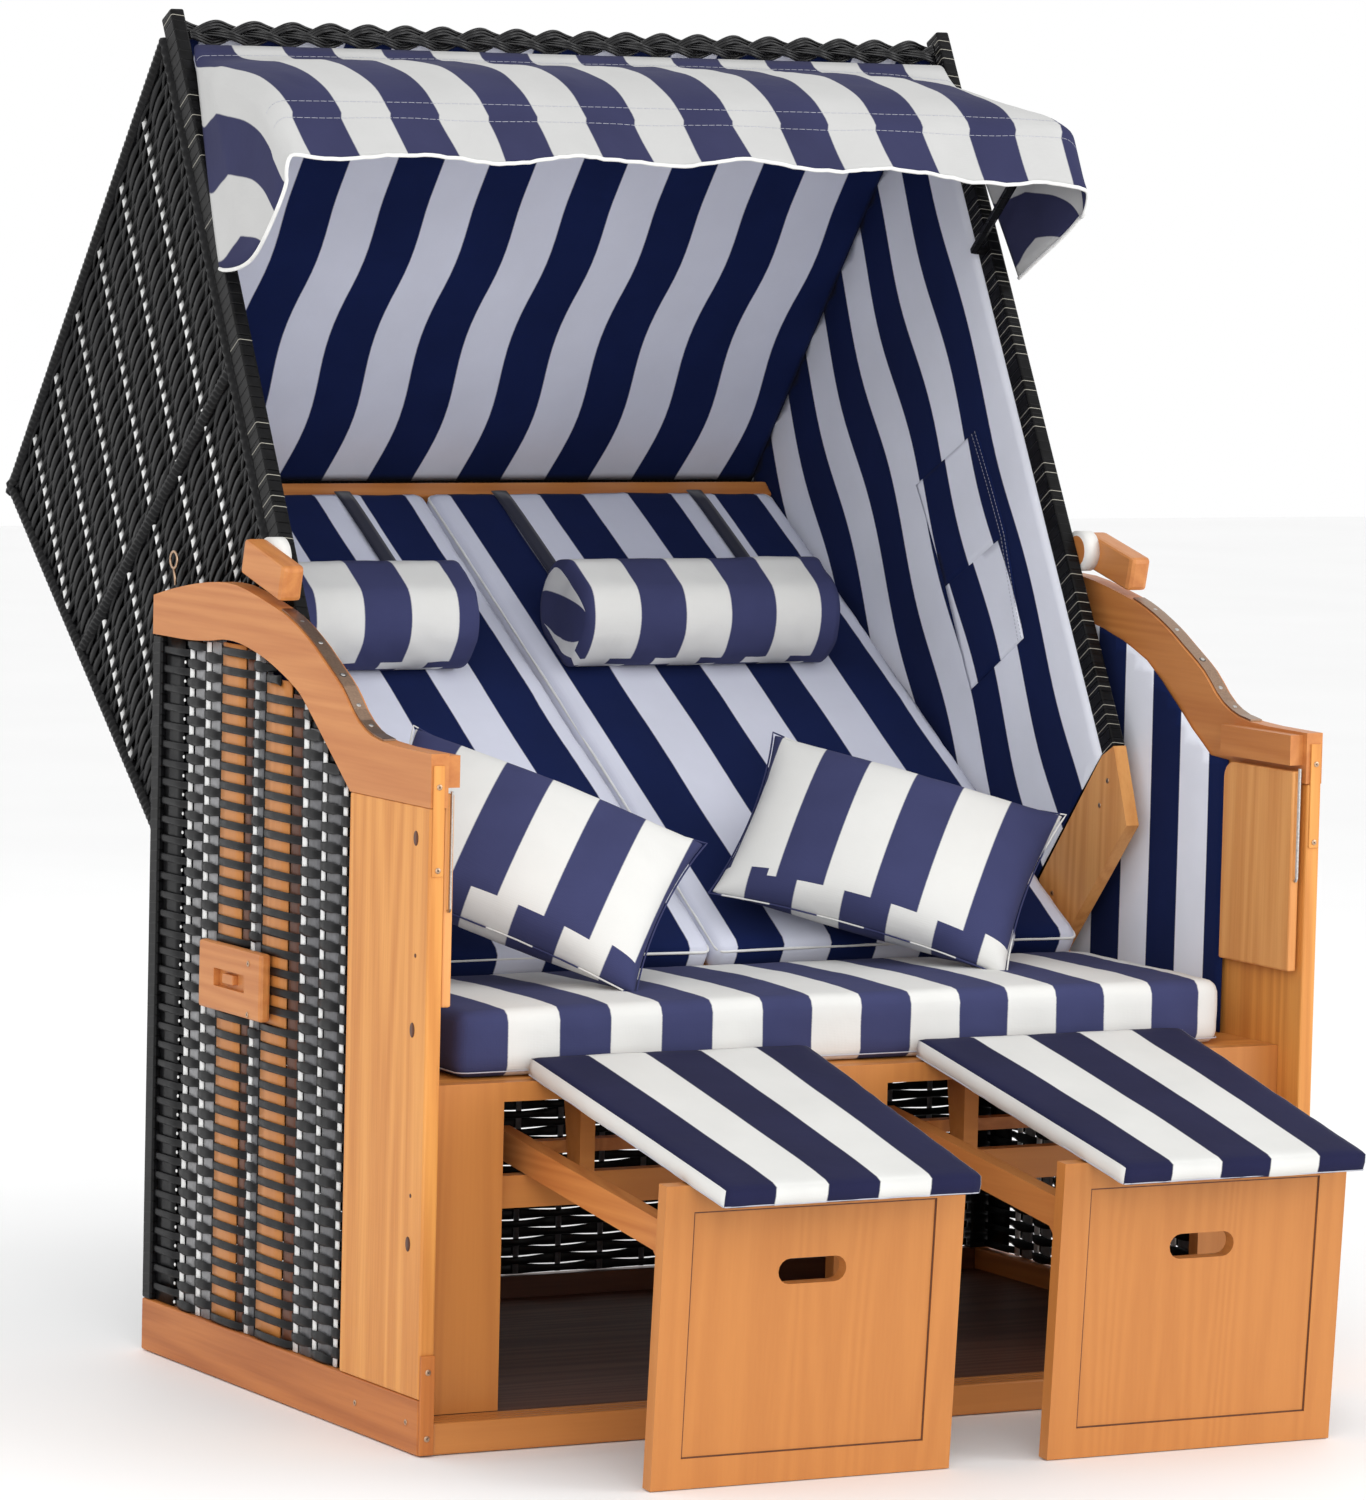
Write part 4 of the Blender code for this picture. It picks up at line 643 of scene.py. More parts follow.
def weaveHoodPanel(name, start2, direction2, length, replaced, inwards):
    strands, whiteStakes, blackStakes = newStore(), newStore(), newStore()
    half = chair["hoodHalfWidth"] - chair["weaveThickness"] - hoodPanel["sideGap"]
    outward3 = hoodVector((-inwards.x, -inwards.y)).normalized()
    low, high = hoodPanel["endGap"], length - hoodPanel["endGap"]

    def toWorld(s, t, out):
        p = start2 + direction2 * t + inwards * (hoodPanel["middle"] - out)
        y, z = fromHood(p.x, p.y)
        return (s, y, z)

    outline = [(-half, low), (half, low), (half, high), (-half, high)]
    look = dict(hoodWeave, stakeSpacing=half / hoodPanel["stakes"])
    weaveFlat(strands, [blackStakes, whiteStakes], outline, toWorld, outward3, look, margin=0.001)
    wicker(f"{name}Strands", strands, "black", "hood", replaced)
    wicker(f"{name}Stakes", blackStakes, "black", "hood")
    wicker(f"{name}Cords", whiteStakes, "white", "hood")
    # dark sheet behind the strands, painted shade: it keeps the gaps in the weave dark
    corners = []
    for t in (hoodPanel["innerGap"], length - hoodPanel["innerGap"]):
        p = start2 + direction2 * t + inwards * hoodPanel["inner"]
        y, z = fromHood(p.x, p.y)
        corners += [(-half, y, z), (half, y, z)]
    verts = corners + [tuple(Vector(c) + outward3 * hoodPanel["backing"]) for c in corners]
    faces = [(0, 1, 3, 2), (4, 6, 7, 5), (0, 4, 5, 1), (1, 5, 7, 3), (3, 7, 6, 2), (2, 6, 4, 0)]
    dress(makeObject(f"{name}Backing", verts, faces, smooth=False), resin["black"], "hood", "black_wicker")


for word, side in sides.items():
    weaveHoodSide(word, side)

roofStart = postCorner + roofDirection * 0.0345
roofLength = (roofCorner - roofStart).length
weaveHoodPanel("roofWeave", roofStart, roofDirection, roofLength - 0.004, ["hood_roof"], inRoof)
backStart = roofCorner + backDirection * 0.004
backLength = (lowCorner - backStart).length
weaveHoodPanel("backWeave", backStart, backDirection, backLength - 0.002, ["hood_back"], inBack)

edgeBars = newStore()
halfBar = chair["hoodHalfWidth"] - hoodPanel["edgeIn"]
for corner, shift in zip((roofCorner, lowCorner), hoodPanel["edges"]):
    y, z = fromHood(*(corner + Vector(shift)))
    wrapBar(edgeBars, (-halfBar, y, z), (halfBar, y, z), hoodPanel["edgeRadius"])
wicker("hoodEdgeBars", edgeBars, "black", "hood")
print("hood woven")

# woven sides of the base: bands across wood slats, grey bands and white cords
sideWeave = {
    "pitch": 0.0113, "strapHeight": 0.0146, "strapThickness": 0.0018, "swing": 0.0028, "middle": 0.5832,
    "slatBow": 0.0022, "bow": 0.0007, "foot": 0.0640, "highest": 0.872, "front": 0.2048, "rear": 0.7262,
    "clearance": 0.004, "underRest": 0.0015, "drawn": {"group": 0.72, "cord": 0.96, "ladder": 0.66},
    "groups": [  # from the front to the back: where, and which rows pass outside
        (0.2175, 0.2333, 1), (0.2347, 0.2887, 0), (0.2900, 0.3400, 1), (0.3415, 0.4440, 0),
        (0.4460, 0.4740, 1), (0.4755, 0.5660, 0), (0.5680, 0.6105, 1), (0.6130, 0.6575, 0),
        (0.6655, 0.7262, 1),
    ],
    # the shade columns are dark brown strips beside the slats, painted shade for the slats' shadowed sides
    "columns": [
        (0.2225, 0.2330, "white"), (0.2350, 0.2745, "grey"), (0.2780, 0.2882, "white"),
        (0.2900, 0.3240, "grey"), (0.3270, 0.3397, "white"), (0.3420, 0.3715, "shade"),
        (0.3720, 0.4435, "slat"), (0.4465, 0.4615, "grey"), (0.4630, 0.4735, "white"),
        (0.4760, 0.4975, "shade"), (0.4980, 0.5655, "slat"), (0.5685, 0.5945, "paleGrey"),
        (0.5975, 0.6100, "white"), (0.6135, 0.6395, "paleGrey"), (0.6445, 0.6565, "white"),
    ],
    "thick": {"white": 0.0034, "grey": 0.0022, "paleGrey": 0.0022, "slat": 0.0052, "shade": 0.0018},
    "shadeBack": 0.0004,
    "ladder": {"place": 0.6975, "width": 0.0570, "thickness": 0.0016, "from": 0.664},
    "tips": {"place": 0.6685, "out": 0.0006, "radius": 0.0021, "depth": 0.0012, "below": 0.008},
}
armrestLow = [(0.204, 0.7275), (0.2477, 0.7587), (0.316, 0.810), (0.354, 0.833), (0.412, 0.854),
              (0.458, 0.865), (0.508, 0.873), (0.551, 0.875), (0.594, 0.870), (0.642, 0.865), (0.706, 0.866),
              (0.751, 0.866)]


def armrestUnder(distance):
    return float(np.interp(distance, [p[0] for p in armrestLow], [p[1] for p in armrestLow]))


def strapPoints(row, z, x, side):
    # a strap passes outside and inside the groups in turn, and ends where the armrest comes down to it
    distances = np.linspace(sideWeave["front"], sideWeave["rear"], 400)
    under = np.array([armrestUnder(d) for d in distances])
    free = distances[under > z + sideWeave["clearance"]]
    places, offsets = [], []
    if len(free) < 8:
        return [], []
    for low, high, phase in sideWeave["groups"]:
        out = 1 if (row + phase) % 2 == 0 else -1
        full = sideWeave["slatBow"] if high - low > 0.085 and out > 0 else sideWeave["bow"]
        for share in (0.08, 0.36, 0.64, 0.92):
            d = low + (high - low) * share
            if free[0] <= d <= free[-1]:
                places.append(d)
                offsets.append(sideWeave["swing"] * out + full * (1 - (2 * share - 1) ** 2) * out)
    if len(places) < 3:
        return [], []
    places = [max(free[0], places[0] - 0.012)] + places + [min(free[-1], places[-1] + 0.008)]
    offsets = [offsets[0]] + offsets + [offsets[-1]]
    return places, [(x + side * o, fromFront(d), z) for d, o in zip(places, offsets)]


def weaveBaseSide(word, side):
    straps, ladder = newStore(), newStore()
    columns = {kind: newStore() for kind in sideWeave["thick"]}
    foot, pitch = sideWeave["foot"], sideWeave["pitch"]
    rows = int((sideWeave["highest"] - foot) / pitch)
    x = side * sideWeave["middle"]
    flat = {"around": 8, "normal": (side, 0, 0), "phase": math.pi / 8}
    middles = [(low + high) / 2 for low, high, _ in sideWeave["groups"]]
    for row in range(rows):
        places, points = strapPoints(row, foot + (row + 0.5) * pitch, x, side)
        if not places:
            continue
        # drawn in at the white cords, which stand at the ends of the groups
        drawn = [(sideWeave["drawn"]["ladder" if d > sideWeave["ladder"]["from"] else "group" if min(
            abs(d - m) for m in middles) > 0.010 else "cord"], 1) for d in places]
        addTube(straps, points, sideWeave["strapHeight"], sideWeave["strapThickness"], taper=drawn, **flat)
    for low, high, kind in sideWeave["columns"]:
        top = min(armrestUnder(low), armrestUnder(high)) - sideWeave["underRest"]
        back = x - side * sideWeave["shadeBack"] if kind == "shade" else x
        line = [(back, fromFront((low + high) / 2), z) for z in np.linspace(foot, top, 20)]
        addTube(columns[kind], line, high - low, sideWeave["thick"][kind], **flat)
    # dark band behind the last straps, with the white tips of a cord along its front edge
    band, tips = sideWeave["ladder"], sideWeave["tips"]
    zs = np.linspace(foot, armrestUnder(0.70) - sideWeave["underRest"], 12)
    addTube(ladder, [(x, fromFront(band["place"]), z) for z in zs], band["width"], band["thickness"], **flat)
    for row in range(0, rows, 2):
        z = foot + (row + 0.5) * pitch
        if z < armrestUnder(0.668) - tips["below"]:
            centre = (x + side * tips["out"], fromFront(tips["place"]), z)
            addDisc(columns["white"], centre, (side, 0, 0), tips["radius"], tips["depth"], 10)
    wicker(f"baseSideLadder_{word}", ladder, "black", "base")
    wicker(f"baseSideStraps_{word}", straps, "black", "base", [f"side_panel_{word}"])
    wicker(f"baseSideCords_{word}", columns["white"], "white", "base")
    # the grey of these bands is partly their own colour and partly painted reflection, standing in for light
    # on glossy dark bands
    wicker(f"baseSideBands_{word}", columns["grey"], "grey", "base")
    wicker(f"baseSideRearBands_{word}", columns["paleGrey"], "paleGrey", "base")
    piece(f"baseSideSlats_{word}", columns["slat"], wood("panel", "z"), "base", "pine")
    # painted shade: dark brown strips beside the slats stand in for their shadowed sides
    piece(f"baseSideShades_{word}", columns["shade"], wood("darkBrown", "z"), "base", "brown_wood")


rearWeave = {"half": 0.5602, "behind": 0.741, "low": 0.0645, "high": 0.452, "stakes": 19, "rimHeight": 0.4605,
             "rimRadius": 0.0056, "pitch": 0.0114, "strandWidth": 0.0104, "strandThickness": 0.0020,
             "swing": 0.0030, "stakeWidth": 0.0080, "stakeThickness": 0.0030, "overStake": 0.25,
             "overCord": 0.25, "under": 0.15}


def weaveRear():
    strands, stakes = newStore(), newStore()
    half, low, high = rearWeave["half"], rearWeave["low"], rearWeave["high"]
    y, rim = fromFront(rearWeave["behind"]), rearWeave["rimHeight"]

    def toWorld(s, t, out):
        return (s, y + out, t)

    look = dict(rearWeave, stakeSpacing=2 * half / rearWeave["stakes"])
    outline = [(-half, low), (half, low), (half, high), (-half, high)]
    weaveFlat(strands, [stakes], outline, toWorld, (0, 1, 0), look, margin=0.0005)
    wrapBar(strands, (-half, y, rim), (half, y, rim), rearWeave["rimRadius"])
    wicker("rearStrands", strands, "black", "base", ["rear_panel"])
    wicker("rearStakes", stakes, "grey", "base")


for word, side in sides.items():
    weaveBaseSide(word, side)
weaveRear()
print("base woven")

# braid along the top of the hood
braid = {"centre": (-0.2073, 1.105), "halfLength": 0.5215, "period": 0.153, "spread": 0.0098, "lift": 0.0062,
         "cord": 0.0048, "cordsPerStrand": 3, "lean": 28}


def makeBraid():
    # three strands, each of a few cords side by side
    store = newStore()
    y0, z0 = fromHood(*braid["centre"])
    lean = math.radians(braid["lean"])
    face = Vector((0, -math.cos(lean), math.sin(lean)))  # towards the front
    up = Vector((0, face.z, -face.y))
    x = np.linspace(-braid["halfLength"], braid["halfLength"], 330)
    for strand in range(3):
        angle = 2 * np.pi * (x / braid["period"] + strand / 3)
        out = braid["lift"] * np.sin(2 * angle)
        for cord in range(braid["cordsPerStrand"]):
            shift = (cord - (braid["cordsPerStrand"] - 1) / 2) * braid["cord"] * 0.96
            v = braid["spread"] * np.sin(angle) + shift * (1 - 0.25 * np.abs(np.cos(angle)))
            points = [(a, y0 + face.y * o + up.y * b, z0 + face.z * o + up.z * b)
                      for a, b, o in zip(x, v, out)]
            addTube(store, points, braid["cord"], around=6)
    wicker("topBraid", store, "gloss", "hood", ["top_beam"])


makeBraid()
print("braid made")

# looks of the solids that stay, with the wood's grain
grains = {
    "base_board": ("brown", "y"), "front_post": ("pine", "z"), "armrest": ("armrest", "y"),
    "carry_plate": ("armrest", "y"), "front_beam": ("panel", "x"), "rear_beam": ("darkBrown", "x"),
    "floor_panel": ("darkBrown", "x"), "front_frame": ("panel", "z"), "seat_board": ("pine", "x"),
    "slide_rail": ("panel", "x"), "hood_foot": ("pale", "z"), "hood_rail": ("armrest", "x"),
    "backrest_board": ("pine", "x"), "lock_lever": ("armrest", "y"), "footrest_panel": ("panel", "z"),
    "footrest_frame": ("armrest", "y"), "footrest_board": ("pine", "y"), "table": ("pale", "z"),
}


def paintNodes():
    for name, obj in nodes.items():
        stem = name.replace("_left", "").replace("_right", "")
        if stem in grains:
            look = wood(*grains[stem])
        elif stem == "hood_post":
            look = postWraps[name.split("_")[-1]]
        elif stem in ("back_post", "awning_bow"):
            look = upWrap
        elif stem == "lock_strip":
            look = bronze
        elif stem == "table_brace":
            look = steel
        else:
            look = resin["black"]
        obj.data.materials.clear()
        obj.data.materials.append(look)


paintNodes()
print("kept solids painted")


# cloth that lines the hood and the base
stripeWidth = 0.0648


def slicedSheet(name, outline3, axisA, axisB, step):
    # fills a flat outline and slices it into a grid, so that it can pucker
    bm = bmesh.new()
    bm.faces.new([bm.verts.new(p) for p in outline3])
    for axis in (axisA, axisB):
        axis = Vector(axis).normalized()
        values = [axis.dot(Vector(p)) for p in outline3]
        count = int((max(values) - min(values)) / step)
        for number in range(1, count + 1):
            place = axis * (min(values) + number * step)
            bmesh.ops.bisect_plane(bm, geom=bm.verts[:] + bm.edges[:] + bm.faces[:], plane_co=place,
                                   plane_no=axis, dist=1e-6)
    mesh = bpy.data.meshes.new(name)
    bm.to_mesh(mesh)
    bm.free()
    mesh.shade_smooth()
    obj = bpy.data.objects.new(name, mesh)
    bpy.context.scene.collection.objects.link(obj)
    return obj


def setCounts(obj, counts):
    layer = obj.data.attributes.new("stripe", "FLOAT", "POINT")
    layer.data.foreach_set("value", np.array(counts, np.float32))


def setStripe(obj, rule):
    # rule gives the stripe count from a vertex's place
    setCounts(obj, [rule(v.co) for v in obj.data.vertices])


def setPanelStripes(mesh, places, rule):
    # each face takes its stripes by the panel that it was cut from, so the corners of one vertex may differ
    values = np.zeros(len(mesh.loops), np.float32)
    for face in mesh.polygons:
        middle = sum((places[v] for v in face.vertices), Vector()) / len(face.vertices)
        for loop in face.loop_indices:
            values[loop] = rule(places[mesh.loops[loop].vertex_index], middle)
    layer = mesh.attributes.new("stripe", "FLOAT", "CORNER")
    layer.data.foreach_set("value", values)


def thicken(obj, thickness, offset=0.0):
    skin = obj.modifiers.new("clothThickness", "SOLIDIFY")
    skin.thickness = thickness
    skin.offset = offset


def ripple(p, scale, seed=0.0):
    return noise.noise(Vector(p) * scale + Vector((seed, seed * 2, seed * 3)))


linings = {"thickness": 0.0010, "step": 0.020, "pucker": 0.0009, "roofPhase": 0.70, "roofSag": 0.007,
           "sidePhase": 1.02, "sideWave": 0.13, "basePhase": 0.35}
pocket = {  # two patches sewn on each side's lining, by their corners in the hood
    "corners": [[(0.0712, 0.6301), (-0.0933, 0.6289), (-0.1029, 0.4805), (0.0624, 0.4828)],
                [(0.0624, 0.4828), (-0.1029, 0.4805), (-0.0854, 0.3441), (0.0591, 0.3374)]],
    "shift": 0.16, "off": 0.0012, "step": 0.012,
}


def lineRoof():
    half = chair["hoodHalfWidth"] - 0.0195
    offset = chair["weaveThickness"] + 0.0021
    start = roofStart + inRoof * offset
    end = roofStart + roofDirection * (roofLength - 0.0205) + inRoof * offset
    p0, p1 = fromHood(*start), fromHood(*end)
    outline = [(-half, *p0), (half, *p0), (half, *p1), (-half, *p1)]
    along = Vector((0, p1[0] - p0[0], p1[1] - p0[1]))
    obj = slicedSheet("roofLining", outline, (1, 0, 0), along, linings["step"])
    out = hoodVector((inRoof.x, inRoof.y)).normalized()
    length = along.length
    low = Vector((0, *p0))
    for v in obj.data.vertices:
        t = (v.co - low).dot(along) / length ** 2
        edge = min(1, min(t, 1 - t) * 12, (half - abs(v.co.x)) / 0.03)
        v.co += out * linings["pucker"] * ripple((v.co.x * 14, t * 1.5, 0), 1.0) * edge
        sideEdge = min(1, (half - abs(v.co.x)) / 0.06)
        sag = math.sin(math.pi * min(1, max(0, (t - 0.30) / 0.70))) ** 2
        v.co += out * linings["roofSag"] * sag * sideEdge

    def rule(p):
        t = (Vector((0, p.y, p.z)) - low).dot(along) / length ** 2
        bend = 0.13 * math.sin(2 * math.pi * (t - 0.52) / 0.46) * min(1, max(0, (t - 0.35) / 0.2))
        return p.x / stripeWidth + linings["roofPhase"] + bend
    setStripe(obj, rule)
    thicken(obj, linings["thickness"])
    dress(obj, stripes["lining"], "hood", "lining_fabric", ["roof_lining"])


def lineHoodSide(word, side):
    front = chair["postFront"] + chair["postDepth"] + 0.001
    offset = chair["weaveThickness"] + 0.0008
    start = postCorner + inRoof * offset
    top = start + roofDirection * ((front - start.x) / roofDirection.x)
    gap = (inBack - inRoof) * offset
    reach = (gap.x * backDirection.y - gap.y * backDirection.x) / (
        roofDirection.x * backDirection.y - roofDirection.y * backDirection.x)
    cornerIn = roofCorner + inRoof * offset + roofDirection * reach
    low = lowCorner + inBack * offset
    low = low + backDirection * ((-0.018 - low.y) / backDirection.y)
    panel = [Vector((front, chair["footTop"] + 0.003)), top, cornerIn, low, Vector((0.015, -0.018)),
             Vector((0.015, 0.061))]
    x = side * (chair["hoodHalfWidth"] - chair["weaveThickness"] - 0.0021)
    outline = [(x, *fromHood(p.x, p.y)) for p in panel]
    across = hoodVector((1, 0))
    obj = slicedSheet(f"hoodLining_{word}", outline, across, hoodUp, linings["step"])
    origin = Vector((0, *fromHood(front, 0)))

    def slack(p):
        # the cloth waves a little between its sewn edges
        a, h = (p - origin).dot(across), (p - origin).dot(hoodUp)
        return math.sin(2 * math.pi * (h / 0.34 + 0.9 * a)) + 0.8 * ripple((a * 5, h * 4.5, 2), 1.0, 3 + side)

    def sideRule(p):
        a = (p - origin).dot(across)
        ease = min(1, max(0, a / 0.08))
        return a / stripeWidth + linings["sidePhase"] + linings["sideWave"] * slack(p) * ease

    for v in obj.data.vertices:
        a = (v.co - origin).dot(across)
        v.co.x -= side * (linings["pucker"] * ripple((a * 30, v.co.z * 3, 1), 1.0, side)
                          + 0.0012 * (1 + slack(v.co)) * min(1, max(0, a / 0.06)))
    setStripe(obj, sideRule)
    thicken(obj, linings["thickness"])
    dress(obj, stripes["sideLining"], "hood", "lining_fabric", [f"hood_lining_{word}"])
    # two open pockets, and the double rows of stitches at their front edge
    threads = newStore()
    for number, corners in enumerate(pocket["corners"]):
        ring = [(x - side * pocket["off"], *fromHood(*c)) for c in corners]
        patch = slicedSheet(f"pocket_{word}_{number}", ring, across, hoodUp, pocket["step"])
        for v in patch.data.vertices:
            v.co.x -= side * 0.0012 * (1 + slack(v.co))
        setStripe(patch, lambda p: sideRule(p) + pocket["shift"] * (number + 1))
        thicken(patch, linings["thickness"])
        dress(patch, stripes["sideLining"], "hood", "lining_fabric")
        size = [(Vector(a) - Vector(b)).length for a, b in zip(corners, corners[1:3])]
        for inset in (0.004, 0.012):
            a, b = (Vector((x - side * (pocket["off"] + 0.0012), *fromHood(c[0] + inset, c[1])))
                    for c in (corners[1], corners[2]))
            steps = int((b - a).length / 0.005)
            for k in range(steps):
                q, r = a.lerp(b, k / steps), a.lerp(b, (k + 0.6) / steps)
                for v in (q, r):
                    v.x -= side * 0.0012 * (1 + slack(v))
                addTube(threads, [q, (q + r) / 2, r], 0.0007, around=4)
    piece(f"pocketStitches_{word}", threads, threadWhite, "hood", "lining_fabric")


def lineBaseSide(word, side):
    x = side * (chair["halfWidth"] - 0.022 - 0.0003 - 0.0030)
    line = [(0.165, 0.7275), (0.204, 0.7300)] + armrestLow[1:-1] + [(0.721, 0.866)]
    top = [(x, fromFront(d), z + 0.014) for d, z in line]
    foot = chair["seatTop"] + 0.001
    outline = [(x, fromFront(0.165), foot)] + top + [(x, fromFront(0.721), foot)]
    obj = slicedSheet(f"baseLining_{word}", outline, (0, 1, 0), (0, 0, 1), linings["step"])
    for v in obj.data.vertices:
        v.co.x -= side * 0.0012 * ripple((v.co.y * 22, v.co.z * 4, 2), 1.0, side)
    setStripe(obj, lambda p: (p.y - fromFront(0.165)) / stripeWidth + linings["basePhase"])
    thicken(obj, linings["thickness"])
    dress(obj, stripes["sideLining"], "base", "lining_fabric", [f"base_lining_{word}"])


lineRoof()
for word, side in sides.items():
    lineHoodSide(word, side)
    lineBaseSide(word, side)
print("linings laid")


# cushions, pads and pillows
def boxGrid(half, step):
    # the six faces of a box as one closed grid mesh
    bm = bmesh.new()
    bmesh.ops.create_cube(bm, size=2)
    for v in bm.verts:
        v.co = Vector((v.co.x * half[0], v.co.y * half[1], v.co.z * half[2]))
    for axis in range(3):
        count = max(2, int(round(2 * half[axis] / step)))
        normal = Vector((0, 0, 0))
        normal[axis] = 1
        for number in range(1, count):
            place = normal * (-half[axis] + 2 * half[axis] * number / count)
            bmesh.ops.bisect_plane(bm, geom=bm.verts[:] + bm.edges[:] + bm.faces[:], plane_co=place,
                                   plane_no=normal, dist=1e-6)
    return bm


def roundedPoint(p, half, radius):
    inner = Vector([max(-(h - r), min(h - r, c)) for c, h, r in zip(p, half, radius)])
    d = p - inner
    scaled = Vector([c / r for c, r in zip(d, radius)])
    if scaled.length < 1e-9:
        return p
    scaled.normalize()
    return inner + Vector([c * r for c, r in zip(scaled, radius)])


def makeCushion(name, look):
    half = look["half"]
    bm = boxGrid(half, look["step"])
    places = [v.co.copy() for v in bm.verts]
    for v in bm.verts:
        p = roundedPoint(v.co.copy(), half, look["radius"])
        across = max(0, 1 - (p.x / half[0]) ** 2)
        along = max(0, 1 - (p.y / half[1]) ** 2)
        if p.z > 0:
            p.z += look["crown"] * (across * along) ** 0.5 * (p.z / half[2])
        nearX = min(1, (abs(p.x) / half[0]) ** 6)
        nearY = min(1, (abs(p.y) / half[1]) ** 6)
        p.x -= math.copysign(look["draw"], p.x) * along * nearX * (1 - (p.z / half[2]) ** 2 * 0.5)
        p.y -= math.copysign(look["draw"], p.y) * across * nearY * (1 - (p.z / half[2]) ** 2 * 0.5)
        seed = look["seed"]
        lump = ripple((p.x * 9, p.y * 9, p.z * 9), 1.0, seed) * look["lump"]
        crease = ripple((p.x * 45, p.y * 45, p.z * 30), 1.0, seed + 5) * look["crease"]
        edge = max(nearX, nearY)
        normal = Vector((p.x / half[0] * nearX, p.y / half[1] * nearY, math.copysign(1 - edge * 0.6, p.z)))
        if p.z > -half[2] * 0.9:
            p += normal * (lump + crease * (0.25 + edge))
        v.co = p
    mesh = bpy.data.meshes.new(name)
    bm.to_mesh(mesh)
    bm.free()
    mesh.shade_smooth()
    obj = bpy.data.objects.new(name, mesh)
    bpy.context.scene.collection.objects.link(obj)
    setPanelStripes(mesh, places, look["stripe"])
    return obj


def pipeRound(name, look, level, thickness):
    # piping that follows the cushion's edge at a height
    hx, hy, _ = look["half"]
    r = max(look["radius"][:2])
    inset = r - 0.0015
    points = []
    for sx, sy, start in ((1, 1, 0), (-1, 1, 90), (-1, -1, 180), (1, -1, 270)):
        for a in (math.radians(start + 90 * k / 8) for k in range(9)):
            points.append([sx * (hx - r) + inset * math.cos(a), sy * (hy - r) + inset * math.sin(a), level])
    dense = []
    for p, q in zip(points, points[1:] + points[:1]):
        p, q = Vector(p), Vector(q)
        steps = max(1, int((q - p).length / 0.03))
        for k in range(steps):
            dense.append(p.lerp(q, k / steps))
    for p in dense:
        across = max(0, 1 - (p.x / hx) ** 2)
        along = max(0, 1 - (p.y / hy) ** 2)
        p.x -= math.copysign(look["draw"], p.x) * along * min(1, (abs(p.x) / hx) ** 6)
        p.y -= math.copysign(look["draw"], p.y) * across * min(1, (abs(p.y) / hy) ** 6)
    dense.append(dense[0].copy())
    store = newStore()
    addTube(store, dense, thickness, around=6)
    return storeObject(name, store)


seatCushion = {"half": (0.511, 0.1615, 0.0375), "step": 0.012, "radius": (0.016, 0.016, 0.016),
               "crown": 0.006, "draw": 0.004, "lump": 0.0020, "crease": 0.0012, "seed": 3.0, "shift": -0.23,
               "centre": (0, fromFront(0.2375), 0.4487), "seam": (-0.031, 0.0016)}
seatCushion["stripe"] = lambda p, middle: p.x / 0.066 + seatCushion["shift"]


def makeSeat():
    obj = makeCushion("seatCushion", seatCushion)
    obj.location = seatCushion["centre"]
    dress(obj, stripes["cushion"], "base", "stripe_fabric", ["seat_cushion"])
    pipe = pipeRound("seatSeam", seatCushion, *seatCushion["seam"])
    pipe.location = seatCushion["centre"]
    dress(pipe, threadWhite, "base", "stripe_fabric")


backAngle = math.atan2(0.6035, 0.3433)
backAlong = Vector((math.cos(backAngle), math.sin(backAngle)))
backRear = Vector((backAlong.y, -backAlong.x))
backBase = Vector((0.0574, 0.1769))


def backPoint(up, offset):
    return backBase + backAlong * ((up - backBase.y) / backAlong.y) + backRear * offset


def backMatrix(across, place):
    y, z = fromHood(place.x, place.y)
    return Matrix.Translation((across, y, z)) @ Matrix.Rotation(backAngle - chair["recline"], 4, "X")


backCushion = {"halfThick": 0.0222, "step": 0.013, "radius": (0.012, 0.012, 0.012), "crown": 0.007,
               "draw": 0.003, "lump": 0.0022, "crease": 0.0010, "seed": 7.0, "shift": 1.5, "middle": 0.0225,
               "lowUp": -0.0486, "highUp": 0.7804, "inner": 0.5247, "sideGap": 0.012, "halfGap": 0.003,
               "sewn": 0.0004, "piping": (0.0140, 0.0036)}


def makeBackCushions():
    low, high = backPoint(backCushion["lowUp"], 0), backPoint(backCushion["highUp"], 0)
    length = (high - low).length
    cushionWidth = backCushion["inner"] - backCushion["sideGap"] - backCushion["halfGap"]
    middle = (low + high) / 2 + backRear * backCushion["middle"]
    sewn = backCushion["sewn"]
    for word, side in sides.items():
        look = dict(backCushion, seed=backCushion["seed"] + side)
        look["half"] = (cushionWidth / 2 - sewn, length / 2 - sewn, backCushion["halfThick"])
        centre = side * (backCushion["halfGap"] + cushionWidth / 2)
        look["stripe"] = lambda p, middle: (p.x + centre) / stripeWidth + backCushion["shift"]
        obj = makeCushion(f"backCushion_{word}", look)
        obj.matrix_world = backMatrix(centre, middle)
        dress(obj, stripes["lining"], "hood", "stripe_fabric", [f"back_cushion_{word}"])
        pipe = pipeRound(f"backPiping_{word}", look, *backCushion["piping"])
        pipe.matrix_world = backMatrix(centre, middle)
        dress(pipe, pipingWhite, "hood", "stripe_fabric")


headRoll = {"half": (0.1865, 0.069, 0.0585), "step": 0.0075, "radius": (0.007, 0.044, 0.056), "crown": 0.0,
            "draw": 0.0, "lump": 0.0020, "crease": 0.0018, "seed": 11.0, "along": 0.599,
            "centres": {"left": -0.5525 * 0.543, "right": 0.3941 * 0.543}, "shift": 1.654, "underShift": 0.45,
            "endShift": 0.62, "strapWidth": 0.024, "strapPlaces": (-0.108, 0.180), "strapTop": 0.950}


